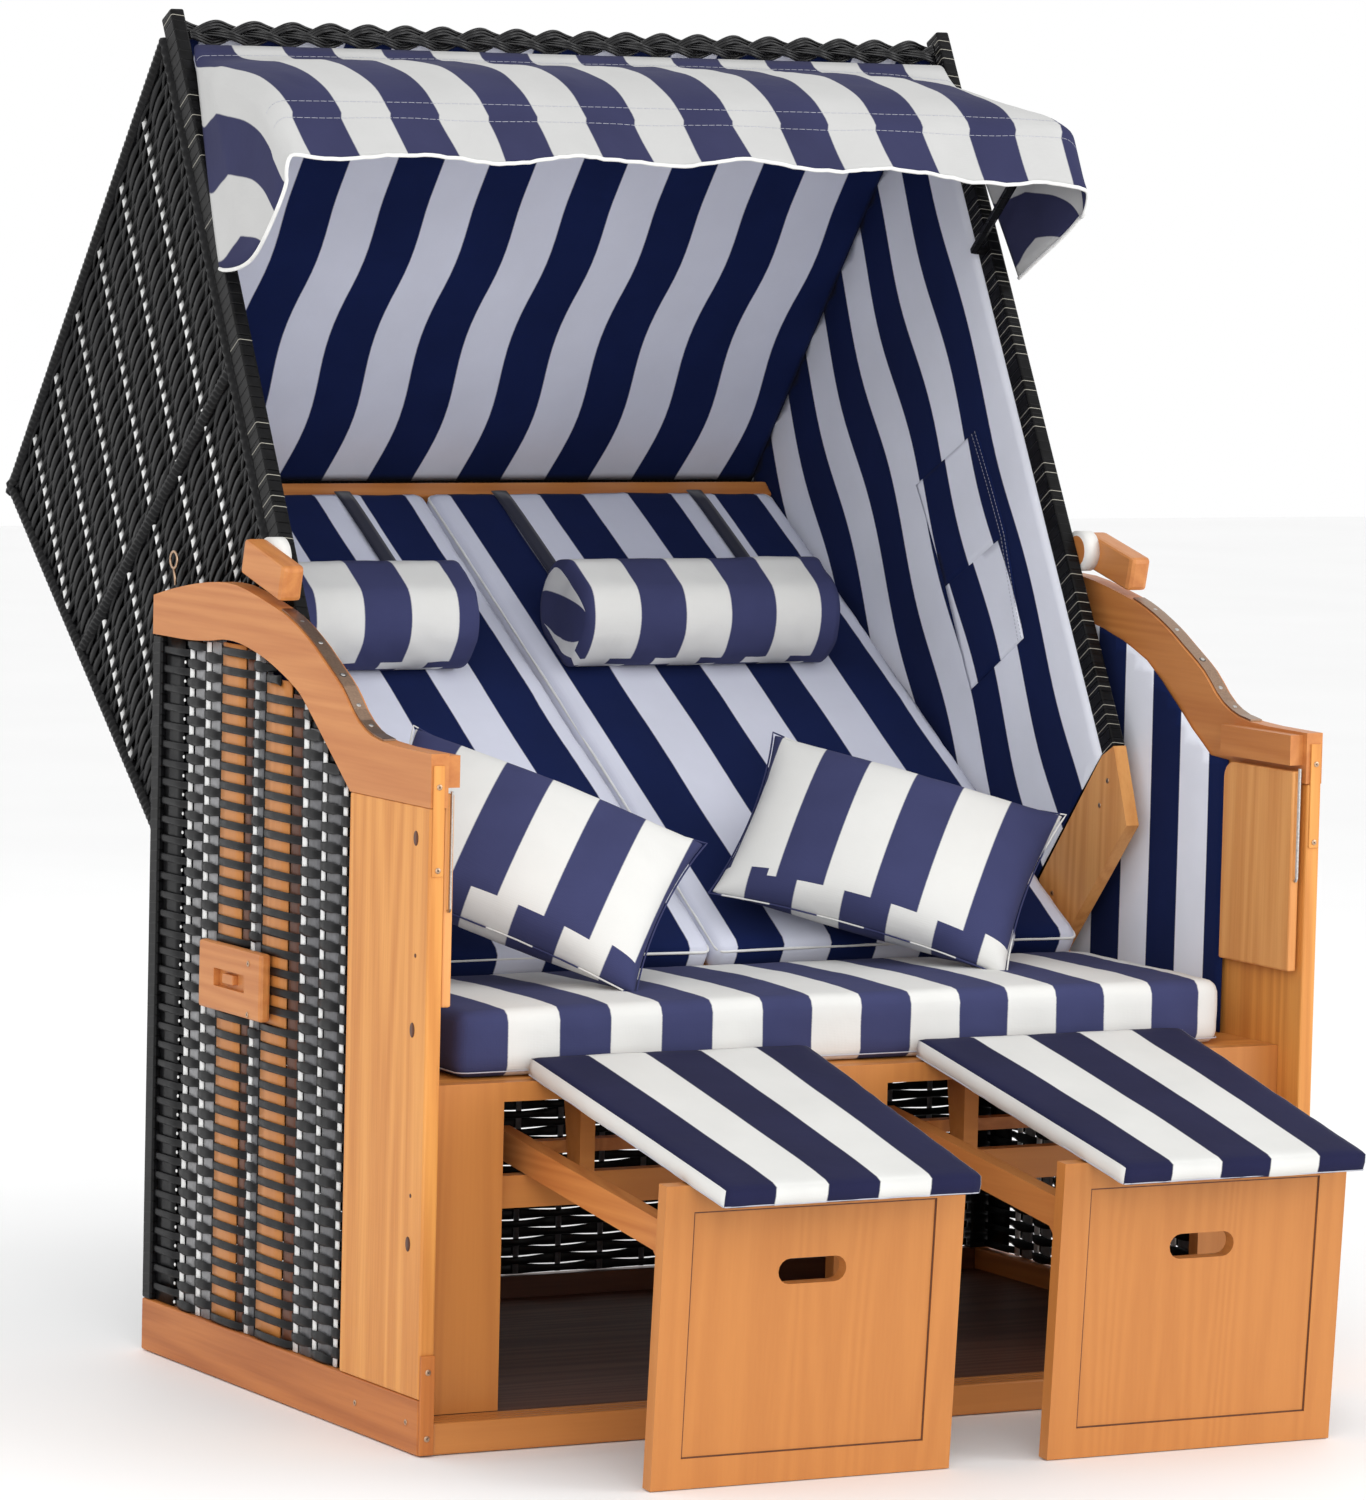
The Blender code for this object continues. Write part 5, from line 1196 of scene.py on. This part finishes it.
def rollStripe(p, middle):
    # the body of a roll, its two flat ends and its underside are separate panels
    half = headRoll["half"]
    if abs(middle.x) > half[0] - 1e-4:
        return (p.z + p.y * 0.5) / stripeWidth + headRoll["endShift"]
    if middle.y < -half[1] + 1e-4 and middle.z < -0.030:
        return p.x / stripeWidth + headRoll["shift"] + headRoll["underShift"]
    return p.x / stripeWidth + headRoll["shift"]


def makeHeadRolls():
    low = backPoint(backCushion["lowUp"], 0)
    middle = low + backAlong * headRoll["along"] - backRear * (0.059 + 0.008 - 0.0042)
    for word, side in sides.items():
        look = dict(headRoll, stripe=rollStripe, seed=headRoll["seed"] + side)
        obj = makeCushion(f"headRoll_{word}", look)
        matrix = backMatrix(headRoll["centres"][word], middle)
        for v in obj.data.vertices:  # fuller at the front, flat where it lies on the backrest
            p = v.co
            if p.z > 0:
                p.y *= 1 - 0.13 * (p.z / headRoll["half"][2]) ** 2
        obj.matrix_world = matrix
        dress(obj, stripes["cushion"], "hood", "stripe_fabric", [f"head_pillow_{word}"])
        # dark straps from the roll up to the rail
        straps = newStore()
        for place in headRoll["strapPlaces"]:
            points = []
            for along in np.linspace(headRoll["along"] - 0.02, headRoll["strapTop"], 16):
                crown = 0.0075 * (1 - ((along - 0.475) / 0.475) ** 2) ** 0.5
                spot = low + backAlong * along - backRear * (crown + 0.0012)
                points.append((headRoll["centres"][word] + place, *fromHood(spot.x, spot.y)))
            addTube(straps, points, headRoll["strapWidth"], 0.0016, 8, hoodVector(-backRear),
                    phase=math.pi / 8)
        piece(f"rollStraps_{word}", straps, strapNavy, "hood", "stripe_fabric")


footPad = {"half": (0.1622, 0.2255, 0.0121), "step": 0.011, "radius": (0.005, 0.005, 0.006), "crown": 0.003,
           "draw": 0.001, "lump": 0.0010, "crease": 0.0006, "seed": 19.0, "slope": math.radians(11.5),
           "rearHalf": 0.181, "across": 0.25374, "seam": (-0.0092, 0.0016), "phase": 0.1625, "stripe": 0.065}


def flarePad(obj):
    # the pads are cut wider towards the seat
    flare = footPad["rearHalf"] / footPad["half"][0] - 1
    for v in obj.data.vertices:
        share = 0.5 + 0.5 * v.co.y / footPad["half"][1]
        v.co.x *= 1 + flare * share
        v.co.x += 0.005 * share


def makeFootPads():
    slope = footPad["slope"]
    along = Vector((math.cos(slope), math.sin(slope)))
    normal = Vector((-along.y, along.x))
    corner = Vector((fromFront(0.047), chair["seatTop"] + 0.0003))
    rear = corner + along * ((fromFront(0.066) - corner.x) / along.x)
    middle = rear - along * 0.226 + normal * 0.0112
    for word, side in sides.items():
        look = dict(footPad, seed=footPad["seed"] + side)
        # the sides are white strips
        look["stripe"] = lambda p, middle: 1.5 if abs(middle.x) > footPad["half"][0] - 1e-4 else (
            p.x + footPad["phase"]) / footPad["stripe"]
        obj = makeCushion(f"footPad_{word}", look)
        flarePad(obj)
        place = Matrix.Translation((side * footPad["across"], middle.x, middle.y))
        place = place @ Matrix.Rotation(slope, 4, "X")
        obj.matrix_world = place
        dress(obj, stripes["pad"], f"pad_{word}", "stripe_fabric", [f"footrest_pad_{word}"])
        pipe = pipeRound(f"footSeam_{word}", look, *footPad["seam"])
        flarePad(pipe)
        pipe.matrix_world = place
        dress(pipe, threadWhite, f"pad_{word}", "stripe_fabric")


throwPillow = {
    "cut": (0.400, 0.285), "step": 0.0095, "pressure": 1.2, "frames": 14, "cap": 0.030,
    "size": (0.374, 0.261, 0.124), "hollow": 0.055, "longHollow": 0.075, "halfThick": 0.058,
    "seamShare": 0.74, "seamWidth": 0.0022, "underShift": 0.55, "stripe": 0.0625,
    "places": {
        "left": {"lean": 45.0, "turn": -13.0, "roll": 29.0, "shift": 1.08, "seed": 23.0},
        "right": {"lean": 43.0, "turn": -26.0, "roll": 18.5, "shift": -0.08, "seed": 29.0},
    },
}


def flatPillow(name, cut, step, seed):
    nx, ny = int(cut[0] / step), int(cut[1] / step)
    verts, faces, index = [], [], {}
    for layer in (0, 1):
        for i in range(nx + 1):
            for j in range(ny + 1):
                edge = i in (0, nx) or j in (0, ny)
                if edge and layer:
                    index[(1, i, j)] = index[(0, i, j)]
                    continue
                u, w = 2 * i / nx - 1, 2 * j / ny - 1
                # its sides pull in between the corners, which stay pointed
                x = cut[0] / 2 * u * (1 - throwPillow["hollow"] * (1 - w ** 2) * u ** 2)
                y = cut[1] / 2 * w * (1 - throwPillow["longHollow"] * (1 - u ** 2) * w ** 2)
                fullness = ((1 - u ** 2) * (1 - w ** 2)) ** 0.5 * (1 - 0.25 * (u * w) ** 2)
                z = throwPillow["halfThick"] * fullness * (1 if layer == 0 else -1)
                z += 0.0006 * ripple((x * 40, y * 40, layer), 1.0, seed)
                index[(layer, i, j)] = len(verts)
                verts.append((x, y, z))
    for layer in (0, 1):
        for i in range(nx):
            for j in range(ny):
                quad = [index[(layer, i, j)], index[(layer, i + 1, j)], index[(layer, i + 1, j + 1)],
                        index[(layer, i, j + 1)]]
                faces.append(quad if layer == 0 else quad[::-1])
    border = [(i, 0) for i in range(nx + 1)] + [(nx, j) for j in range(1, ny + 1)]
    border += [(i, ny) for i in range(nx - 1, -1, -1)] + [(0, j) for j in range(ny - 1, 0, -1)]
    return makeObject(name, verts, faces), [index[(0, i, j)] for i, j in border]


def inflate(obj, pressure, frames, cap):
    scene = bpy.context.scene
    rest = np.array([v.co for v in obj.data.vertices])
    cloth = obj.modifiers.new("stuffing", "CLOTH")
    settings = cloth.settings
    settings.quality = 6
    settings.mass = 0.25
    settings.tension_stiffness = 18
    settings.compression_stiffness = 12
    settings.shear_stiffness = 6
    settings.bending_stiffness = 3.0
    settings.use_pressure = True
    settings.uniform_pressure_force = pressure
    settings.effector_weights.gravity = 0
    cloth.collision_settings.use_collision = False
    cloth.point_cache.frame_start = 1
    cloth.point_cache.frame_end = frames
    for number in range(1, frames + 1):
        scene.frame_set(number)
    evaluated = obj.evaluated_get(bpy.context.evaluated_depsgraph_get())
    moved = np.array([v.co for v in evaluated.data.vertices])
    obj.modifiers.remove(cloth)
    scene.frame_set(1)
    step = moved - rest
    length = np.linalg.norm(step, axis=1)[:, None] + 1e-9
    moved = rest + step * np.minimum(1, cap / length)
    for v, p in zip(obj.data.vertices, moved):
        v.co = p


def makeThrowPillows():
    for word, place in throwPillow["places"].items():
        obj, border = flatPillow(f"throwPillow_{word}", throwPillow["cut"], throwPillow["step"],
                                 place["seed"])
        flatPlaces = [v.co.copy() for v in obj.data.vertices]
        inflate(obj, throwPillow["pressure"], throwPillow["frames"], throwPillow["cap"])
        co = np.array([v.co for v in obj.data.vertices])
        low, high = co.min(0), co.max(0)
        scale = np.array(throwPillow["size"]) / (high - low)
        co = (co - (low + high) / 2) * scale
        for v, p in zip(obj.data.vertices, co):
            v.co = p
        seam = -throwPillow["cut"][1] / 2 * throwPillow["seamShare"]

        def stripeCount(p, middle):
            under = middle.z <= 0 or middle.y <= seam
            return p.x / throwPillow["stripe"] + place["shift"] + (throwPillow["underShift"] if under else 0)

        setPanelStripes(obj.data, flatPlaces, stripeCount)
        smoothing = obj.modifiers.new("smoothing", "SUBSURF")
        smoothing.levels = 1
        smoothing.render_levels = 1
        turn = Matrix.Rotation(math.radians(place["turn"]), 4, "Z")
        lean = Matrix.Rotation(math.radians(90 - place["lean"]), 4, "X")
        roll = Matrix.Rotation(math.radians(-place["roll"]), 4, "Z")
        nodeLow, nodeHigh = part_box(f"throw_pillow_{word}")
        spot = Matrix.Translation((Vector(nodeLow) + Vector(nodeHigh)) / 2)
        matrix = spot @ turn @ lean @ roll
        obj.matrix_world = matrix
        dress(obj, stripes["cushion"], "base", "stripe_fabric", [f"throw_pillow_{word}"])
        # the seam all round, folded over itself
        store = newStore()
        loop = [co[i] for i in border] + [co[border[0]]]
        addTube(store, loop, throwPillow["seamWidth"], around=6)
        pipe = storeObject(f"throwSeam_{word}", store)
        pipe.matrix_world = matrix
        seamPlaces = [flatPlaces[i] for i in border] + [flatPlaces[border[0]]]
        counts = [p.x / throwPillow["stripe"] + place["shift"] for p in seamPlaces for _ in range(6)]
        setCounts(pipe, counts + [counts[0], counts[-1]])
        dress(pipe, stripes["cushion"], "base", "stripe_fabric")


makeSeat()
makeBackCushions()
makeHeadRolls()
makeFootPads()
makeThrowPillows()
print("cushions stuffed")

# awning over its bow
awning = {
    "start": (-0.2210, 1.0804), "ridge": (-0.4260, 0.8880), "edge": (-0.4560, 0.8080),
    "tip": (-0.2270, 0.7760),
    "frontLow": (-0.4340, 0.7860), "side": 0.552, "wave": 0.004, "waves": 5, "sag": 0.004,
    "cornerRadius": 0.026, "columns": 110, "flapColumns": 14, "topRows": 26, "frontRows": 9, "phase": 0.02,
    "thickness": 0.0012, "flapBulge": {"left": 0.034, "right": 0.006}, "ridgeJog": 0.06,
    "skewDown": 0.026, "skewBack": 0.025, "piping": 0.0048, "thread": 0.0007, "threadLift": 0.0008,
    # how far forward and down the cloth lies from where it starts, as far as the bow
    "fall": [(0, 0), (0.003, 0.005), (0.015, 0.011), (0.034, 0.0135), (0.074, 0.0125), (0.117, 0.0135),
             (0.157, 0.019), (0.197, 0.029), (0.226, 0.040), (0.248, 0.051), (0.272, 0.071)],
    "topSide": 0.522, "stripe": 0.0668, "flapStretch": 0.72, "endSag": {"left": 0.014, "right": 0.042},
}


def awningRows():
    start, ridge, edge = (Vector(awning[k]) for k in ("start", "ridge", "edge"))
    c, s = math.cos(chair["recline"]), math.sin(chair["recline"])
    fall = np.array([(-f * c + d * s, -f * s - d * c) for f, d in awning["fall"]])
    fall += (np.array(ridge - start) - fall[-1]) * np.linspace(0, 1, len(fall))[:, None]
    lengths = np.concatenate(([0], np.cumsum(np.linalg.norm(np.diff(fall, axis=0), axis=1))))
    places = np.linspace(0, lengths[-1], awning["topRows"] + 1)
    line = np.stack([np.interp(places, lengths, fall[:, k]) for k in (0, 1)], axis=1)
    line[1:-1] = (line[:-2] + 2 * line[1:-1] + line[2:]) / 4
    ridgeShare = lengths[-1] / (lengths[-1] + (edge - ridge).length)
    rows = [(start + Vector(line[step]), ridgeShare * step / awning["topRows"], 0)
            for step in range(awning["topRows"])]
    for step in range(awning["frontRows"] + 1):
        part = step / awning["frontRows"]
        rows.append((ridge.lerp(edge, part), ridgeShare + part * (1 - ridgeShare), part))
    return rows


def makeAwning():
    tip, frontLow = Vector(awning["tip"]), Vector(awning["frontLow"])
    flaps, columns = awning["flapColumns"], awning["columns"]
    verts, counts, grid = [], [], []
    rows = awningRows()
    ridgeShare = rows[awning["topRows"]][1]
    for top, share, frontShare in rows:
        lows = {key: tip.lerp(frontLow, share) - Vector((0.05, 1)) * awning["flapBulge"][key] * math.sin(
            math.pi * share) ** 0.8 for key in sides}
        drop = (top - lows["left"]).length
        line = []
        radius = min(awning["cornerRadius"], drop * 0.45) * min(1, 0.25 + 3 * share) * (1 - 0.6 * frontShare)
        half = awning["topSide"] + (awning["side"] - awning["topSide"]) * min(1, share / 0.3)
        profile = []
        for k in range(flaps, 0, -1):
            profile.append((-half, radius + (drop - radius) * k / flaps, -1))
        for k in range(6):
            a = math.pi / 2 * (k + 0.5) / 6
            profile.append((-half + radius * (1 - math.cos(a)), radius * (1 - math.sin(a)), 0))
        for k in range(columns + 1):
            profile.append((-half + radius + (2 * half - 2 * radius) * k / columns, 0, 0))
        for k in range(6):
            a = math.pi / 2 * (k + 0.5) / 6
            profile.append((half - radius * (1 - math.sin(a)), radius * (1 - math.cos(a)), 0))
        for k in range(1, flaps + 1):
            profile.append((half, radius + (drop - radius) * k / flaps, 1))
        length = 0
        lengths = []
        flapStretch = awning["flapStretch"] + (1 - awning["flapStretch"]) * share
        for k, (x, d, flap) in enumerate(profile):
            if k:
                step = math.hypot(x - profile[k - 1][0], d - profile[k - 1][1])
                length += step * (flapStretch if flap else 1)
            lengths.append(length)
        middle = length / 2
        for (x, d, flap), s in zip(profile, lengths):
            low = lows["left" if x < 0 else "right"]
            p = top.lerp(low, d / drop)
            across = x / half
            wave = math.sin(math.pi * awning["waves"] * across) * awning["wave"] * frontShare * (
                1 - min(1, d / max(drop, 1e-6)))
            between = 0 if frontShare else math.sin(math.pi * min(1, share / ridgeShare))
            crumple = ripple((across * 9, share * 5, 0.3), 1.0, 4.0)
            crumple *= 0.0035 * between + 0.0030 * frontShare
            fine = ripple((across * 34, share * 3, 0.7), 1.0, 8.0)
            fine *= 0.0012 * between + 0.0018 * frontShare
            y, z = fromHood(p.x, p.y)
            place = Vector((x, y, z + wave))
            place.x += math.copysign(awning["side"] - half, x) * min(1, d / drop) * (1 if drop > 0.03 else 0)
            if flap:
                place.x += flap * (0.0025 * math.sin(7 * share + 3 * d / drop) * d / drop)
            else:
                place.z += crumple + fine - awning["sag"] * between * (1 - across ** 2) * 0.3
            endSag = awning["endSag"]["left" if x < 0 else "right"] * across ** 6 * between
            place.z -= endSag * (1 - min(1, d / drop))
            skew = max(0, across) ** 2 * frontShare
            place += Vector((0, awning["skewBack"], -awning["skewDown"])) * skew
            verts.append(place)
            line.append(len(verts) - 1)
            swirl = 0.10 * ripple((across * 6, share * 4, 2.2), 1.0, 6.0) * (between + frontShare)
            jog = awning["ridgeJog"] if 0.2 < frontShare else 0
            lean = -0.30 * share * max(0, -across) ** 2
            counts.append((s - middle) / awning["stripe"] + awning["phase"] + swirl + jog + lean)
        grid.append(line)
    faces = []
    for a, b in zip(grid, grid[1:]):
        for k in range(len(a) - 1):
            faces.append((a[k], b[k], b[k + 1], a[k + 1]))
    obj = makeObject("awningCloth", verts, faces)
    setCounts(obj, counts)
    thicken(obj, awning["thickness"])
    obj.data.materials.append(stripes["awning"])
    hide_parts("awning")
    # piping: down the left flap's front edge, along the front and down the right flap's
    last = [Vector(verts[i]) for i in grid[-1]]
    leftLow = [Vector(verts[line[0]]) for line in grid]
    rightLow = [Vector(verts[line[-1]]) for line in grid]
    route = leftLow + last[1:-1] + rightLow[::-1]
    dense = [route[0]]
    for p in route[1:]:
        if (p - dense[-1]).length > 0.003:
            dense.append(p)
    store = newStore()
    addTube(store, dense, awning["piping"], around=8)
    pipe = storeObject("awningPiping", store)
    pipe.data.materials.append(pipingWhite)
    # stitched casings: one under the braid and one over the bow
    seams = newStore()
    for row in (2, awning["topRows"] - 1, awning["topRows"] + 2):
        line = [Vector(verts[i]) for i in grid[row]][awning["flapColumns"] - 2:-(awning["flapColumns"] - 2)]
        lift = hoodVector((-0.729, 0.684)).normalized() * awning["threadLift"]
        for p, q in zip(line, line[1:]):
            a, b = p + lift, p.lerp(q, 0.80) + lift
            addTube(seams, [a, (a + b) / 2, b], awning["thread"], around=4)
    thread = storeObject("awningSeams", seams)
    thread.data.materials.append(threadWhite)
    startY, startZ = fromHood(*awning["start"])
    endY, endZ = fromHood(*awning["ridge"])
    for piece in (obj, pipe, thread):
        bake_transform(piece)


makeAwning()
print("awning hung")


# screws, plugs and small fittings
def addScrew(heads, slots, centre, axis, radius=0.0042):
    axis = Vector(axis).normalized()
    addDisc(heads, Vector(centre), axis, radius, 0.0009, 14)
    # the slot is a dark bar laid on the head, painted shade instead of a cut
    side = axis.orthogonal().normalized()
    other = axis.cross(side)
    for direction in (side, other):
        a = Vector(centre) + axis * 0.0009 - direction * radius * 0.5
        b = Vector(centre) + axis * 0.0009 + direction * radius * 0.5
        addTube(slots, [a, (a + b) / 2, b], radius * 0.22, radius * 0.12, 4, axis)


baseFittings = {
    "plugs": {"behind": 0.034, "up": (0.691, 0.476, 0.235), "lift": 0.0002, "width": 0.0115,
              "height": 0.0170},
    "nails": {"behind": 0.030, "up": (0.560, 0.290), "size": (0.0024, 0.0004)},
    "footScrews": {"behind": (0.030, 0.160), "up": 0.034, "radius": 0.0034},
}
# strips on the front edge of the post, each with two screws
edgeStrips = {
    "edgeStrip": {"across": 0.5805, "half": 0.007, "low": (0.0026, 0.651), "high": (0.0002, 0.775),
                  "screws": (0.658, 0.751), "radius": 0.0034, "wood": "pine", "slot": "pine", "edge": 0.0008},
    "cornerBrace": {"across": 0.5805, "half": 0.009, "low": (0.0040, 0.001), "high": (0.0002, 0.114),
                    "screws": (0.020, 0.095), "radius": 0.0036, "wood": "brown", "slot": "brown_wood",
                    "edge": 0.0012},
}


def fitBase(word, side):
    heads, slots, plugs = newStore(), newStore(), newStore()
    outer = side * chair["halfWidth"]
    out = (side, 0, 0)
    look = baseFittings["plugs"]
    for z in look["up"]:
        ends = [(outer + side * k * look["lift"], fromFront(look["behind"]), z) for k in range(3)]
        addTube(plugs, ends, look["width"], look["height"], 16, (0, 0, 1))
    look = baseFittings["nails"]
    for z in look["up"]:
        addDisc(plugs, (outer, fromFront(look["behind"]), z), out, *look["size"])
    look = baseFittings["footScrews"]
    for d in look["behind"]:
        addScrew(heads, slots, (outer, fromFront(d), look["up"]), out, look["radius"])
    for name, look in edgeStrips.items():
        store = newStore()
        low, high = sorted((side * (look["across"] - look["half"]), side * (look["across"] + look["half"])))
        (front, bottom), (rear, top) = look["low"], look["high"]
        addBox(store, (low, fromFront(-front), bottom), (high, fromFront(-rear), top))
        for z in look["screws"]:
            addScrew(heads, slots, (side * look["across"], fromFront(-front), z), (0, -1, 0), look["radius"])
        strip = piece(f"{name}_{word}", store, wood(look["wood"], "z"), "base", look["slot"], smooth=False)
        soften(strip, look["edge"])
    piece(f"postPlugs_{word}", plugs, wood("darkBrown", "z"), "base", "brown_wood")
    piece(f"baseScrews_{word}", heads, coppery, "base", "steel")
    piece(f"baseScrewSlots_{word}", slots, holeShade, "base", "steel")


lockPins = {"behind": (0.361, 0.333, 0.311, 0.251, 0.230, 0.209, 0.176), "across": 0.579, "reach": 0.016,
            "hole": (0.0042, 0.0003), "pin": (0.0028, 0.0012), "slope": 0.6}


def upperEdge(near):
    # the upper of the points that share a place along the strip
    kept = {(round(float(p[1]), 5), round(float(p[2]), 5)) for p in near
            if p[2] > near[np.argmin(np.abs(near[:, 1] - p[1]))][2] - 1e-6}
    return zip(*sorted(kept))


def fitLockStrip(word, side):
    holes, pins = newStore(), newStore()
    co = np.array([v.co for v in nodes[f"lock_strip_{word}"].data.vertices])
    for d in lockPins["behind"]:
        y = fromFront(d)
        near = co[np.abs(co[:, 1] - y) < lockPins["reach"]]
        if not len(near):
            continue
        top = float(np.interp(y, *upperEdge(near)))
        ahead = near[near[:, 1] > y]
        behind = near[near[:, 1] <= y]
        slope = lockPins["slope"]
        if len(ahead) and len(behind):
            run = max(1e-6, ahead[:, 1].mean() - behind[:, 1].mean())
            slope = (ahead[:, 2].max() - behind[:, 2].max()) / run
        centre, axis = (side * lockPins["across"], y, top), Vector((0, -slope, 1)).normalized()
        # a dark disc round each pin is the painted shade of its hole
        addDisc(holes, centre, axis, *lockPins["hole"])
        addDisc(pins, centre, axis, *lockPins["pin"])
    piece(f"stripHoles_{word}", holes, holeShade, "base", "steel")
    piece(f"stripPins_{word}", pins, steel, "base", "steel")


plateFittings = {"screwsUp": (0.4445, 0.504), "behind": 0.440, "radius": 0.0034, "deep": (0.0085, 0.001),
                 "tongueLow": (-0.008, -0.0055), "tongueHigh": (0.0215, 0.0065), "edge": 0.0015}


def fitCarryPlate(word, side):
    heads, slots, tongue = newStore(), newStore(), newStore()
    low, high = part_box(f"carry_plate_{word}")
    face = high.x if side > 0 else low.x
    midY, midZ = (low.y + high.y) / 2, (low.z + high.z) / 2
    for z in plateFittings["screwsUp"]:
        place = (face, fromFront(plateFittings["behind"]), z)
        addScrew(heads, slots, place, (side, 0, 0), plateFittings["radius"])
    a, b = sorted(face - side * deep for deep in plateFittings["deep"])
    (y0, z0), (y1, z1) = plateFittings["tongueLow"], plateFittings["tongueHigh"]
    addBox(tongue, (a, midY + y0, midZ + z0), (b, midY + y1, midZ + z1))
    obj = piece(f"plateTongue_{word}", tongue, wood("armrest", "y"), "base", "armrest_wood", smooth=False)
    soften(obj, plateFittings["edge"])
    piece(f"plateScrews_{word}", heads, coppery, "base", "steel")
    piece(f"plateScrewSlots_{word}", slots, holeShade, "base", "steel")


panelField = {"behind": -0.277, "lean": 3.7, "halfWidth": 0.1895, "side": 0.036, "low": 0.034, "high": 0.3103,
              "groove": 0.0016, "front": (0.0010, 0.0021)}


def fitPanel(word, side):
    # the grooves round the panel's field are dark brown strips on its face: painted shade
    grooves = newStore()
    place = Matrix.Translation((side * footPad["across"], fromFront(panelField["behind"]), 0))
    place = place @ Matrix.Rotation(math.radians(panelField["lean"]), 4, "X")
    reach, low, high = panelField["halfWidth"] - panelField["side"], panelField["low"], panelField["high"]
    g, (y0, y1) = panelField["groove"], panelField["front"]
    for x in (-reach, reach - g):
        addBox(grooves, (x, y0, low), (x + g, y1, high), place)
    for z in (low, high - g):
        addBox(grooves, (-reach, y0, z), (reach, y1, z + g), place)
    piece(f"panelGrooves_{word}", grooves, wood("darkBrown", "z"), f"footrest_{word}", "pine", smooth=False)


hoodFittings = {
    "footScrews": ((-0.190, 0.105), (-0.160, 0.085), (-0.010, 0.030), (-0.02, -0.010)), "footThick": 0.018,
    "screwRadius": 0.0032, "spacer": (0.4913, 0.9728), "spacerEnds": (0.5436, 0.5622), "spacerWidth": 0.0500,
    "ring": (0.784, 0.952), "ringOut": 0.006, "ringRadius": 0.010, "ringWidth": 0.0034, "boltWidth": 0.0036,
    "bolt": ((0, -0.010), (-0.004, -0.020), (-0.006, -0.030)),
}


def fitHood(word, side):
    heads, slots, cap = newStore(), newStore(), newStore()
    # screws on the foot boards
    inner = side * (chair["hoodHalfWidth"] - hoodFittings["footThick"])
    for back, up in hoodFittings["footScrews"]:
        addScrew(heads, slots, (inner, *fromHood(back, up)), (-side, 0, 0), hoodFittings["screwRadius"])
    # white spacer between the hood and the lever
    y, z = fromFront(hoodFittings["spacer"][0]), hoodFittings["spacer"][1]
    a, b = (side * x for x in hoodFittings["spacerEnds"])
    middle = ((a + b) / 2, y, z)
    addTube(cap, [(a, y, z), middle, (b, y, z)], hoodFittings["spacerWidth"], around=28, normal=(0, 0, 1))
    piece(f"leverSpacer_{word}", cap, spacerWhite, f"lever_{word}", "steel")
    piece(f"hoodScrews_{word}", heads, coppery, "hood", "steel")
    piece(f"hoodScrewSlots_{word}", slots, holeShade, "hood", "steel")
    # ring bolt on the woven side
    ring = newStore()
    behind, up = hoodFittings["ring"]
    centre = Vector((side * (chair["hoodHalfWidth"] + hoodFittings["ringOut"]), fromFront(behind), up))
    turns = np.linspace(0, 2 * math.pi, 25)
    loop = [centre + hoodFittings["ringRadius"] * Vector((0, math.cos(a), math.sin(a))) for a in turns]
    addTube(ring, loop, hoodFittings["ringWidth"], around=8)
    bolt = [centre + Vector((0, *place)) for place in hoodFittings["bolt"]]
    addTube(ring, bolt, hoodFittings["boltWidth"], around=8)
    piece(f"ringBolt_{word}", ring, coppery, "hood", "steel")


for word, side in sides.items():
    fitBase(word, side)
    fitLockStrip(word, side)
    fitCarryPlate(word, side)
    fitPanel(word, side)
    fitHood(word, side)
print("fittings added")


# floor and light
studio = {
    "floor": (0.95, 0.95, 0.95), "floorBox": (-14, -12, 14, 16), "floorDrop": -0.001,
    "world": (1.0, 1.0, 1.0), "worldStrength": 1.0,
    "lights": [  # name, place, what it points at, size, power
        ("keyLight", (-3.2, -4.2, 3.6), (0, -0.1, 0.7), (2.6, 2.6), 30),
        ("frontLight", (-2.4, -5.8, 2.0), (0, 0, 0.8), (3.2, 2.4), 85),
        ("fillLight", (3.8, -3.6, 2.2), (0, 0, 0.8), (2.8, 2.8), 75),
        ("leftLight", (-4.2, 0.6, 2.4), (-0.5, 0, 0.8), (2.0, 2.6), 4),
        ("rearLight", (0.5, 4.2, 3.2), (0, 0.3, 0.9), (2.6, 2.0), 20),
    ],
}


def areaLight(name, place, target, size, power):
    data = bpy.data.lights.new(name, "AREA")
    data.shape = "RECTANGLE"
    data.size, data.size_y = size
    data.energy = power
    obj = bpy.data.objects.new(name, data)
    bpy.context.scene.collection.objects.link(obj)
    obj.location = place
    obj.rotation_euler = (Vector(target) - Vector(place)).to_track_quat("-Z", "Y").to_euler()


def makeStudio():
    x0, y0, x1, y1 = studio["floorBox"]
    corners = [(x, y, studio["floorDrop"]) for x, y in ((x0, y0), (x1, y0), (x1, y1), (x0, y1))]
    floor = makeObject("floor", corners, [(0, 1, 2, 3)], smooth=False)
    mat, tree, shader = startMaterial("paleFloor", 0.7)
    coords = put(tree, "ShaderNodeTexCoord").outputs["Object"]
    cloud = put(tree, "ShaderNodeTexNoise", {"Vector": coords, "Scale": 1.5}).outputs["Fac"]
    darker = tuple(0.98 * c for c in studio["floor"])
    tree.links.new(ramp(tree, cloud, [(0.3, darker), (0.7, studio["floor"])]), shader.inputs["Base Color"])
    floor.data.materials.append(mat)
    bpy.context.scene.view_settings.view_transform = "Standard"
    world = bpy.data.worlds.new("studioWorld")
    bpy.context.scene.world = world
    world.use_nodes = True
    background = world.node_tree.nodes["Background"]
    background.inputs["Color"].default_value = (*studio["world"], 1)
    background.inputs["Strength"].default_value = studio["worldStrength"]
    for light in studio["lights"]:
        areaLight(*light)


makeStudio()
print("studio lit")
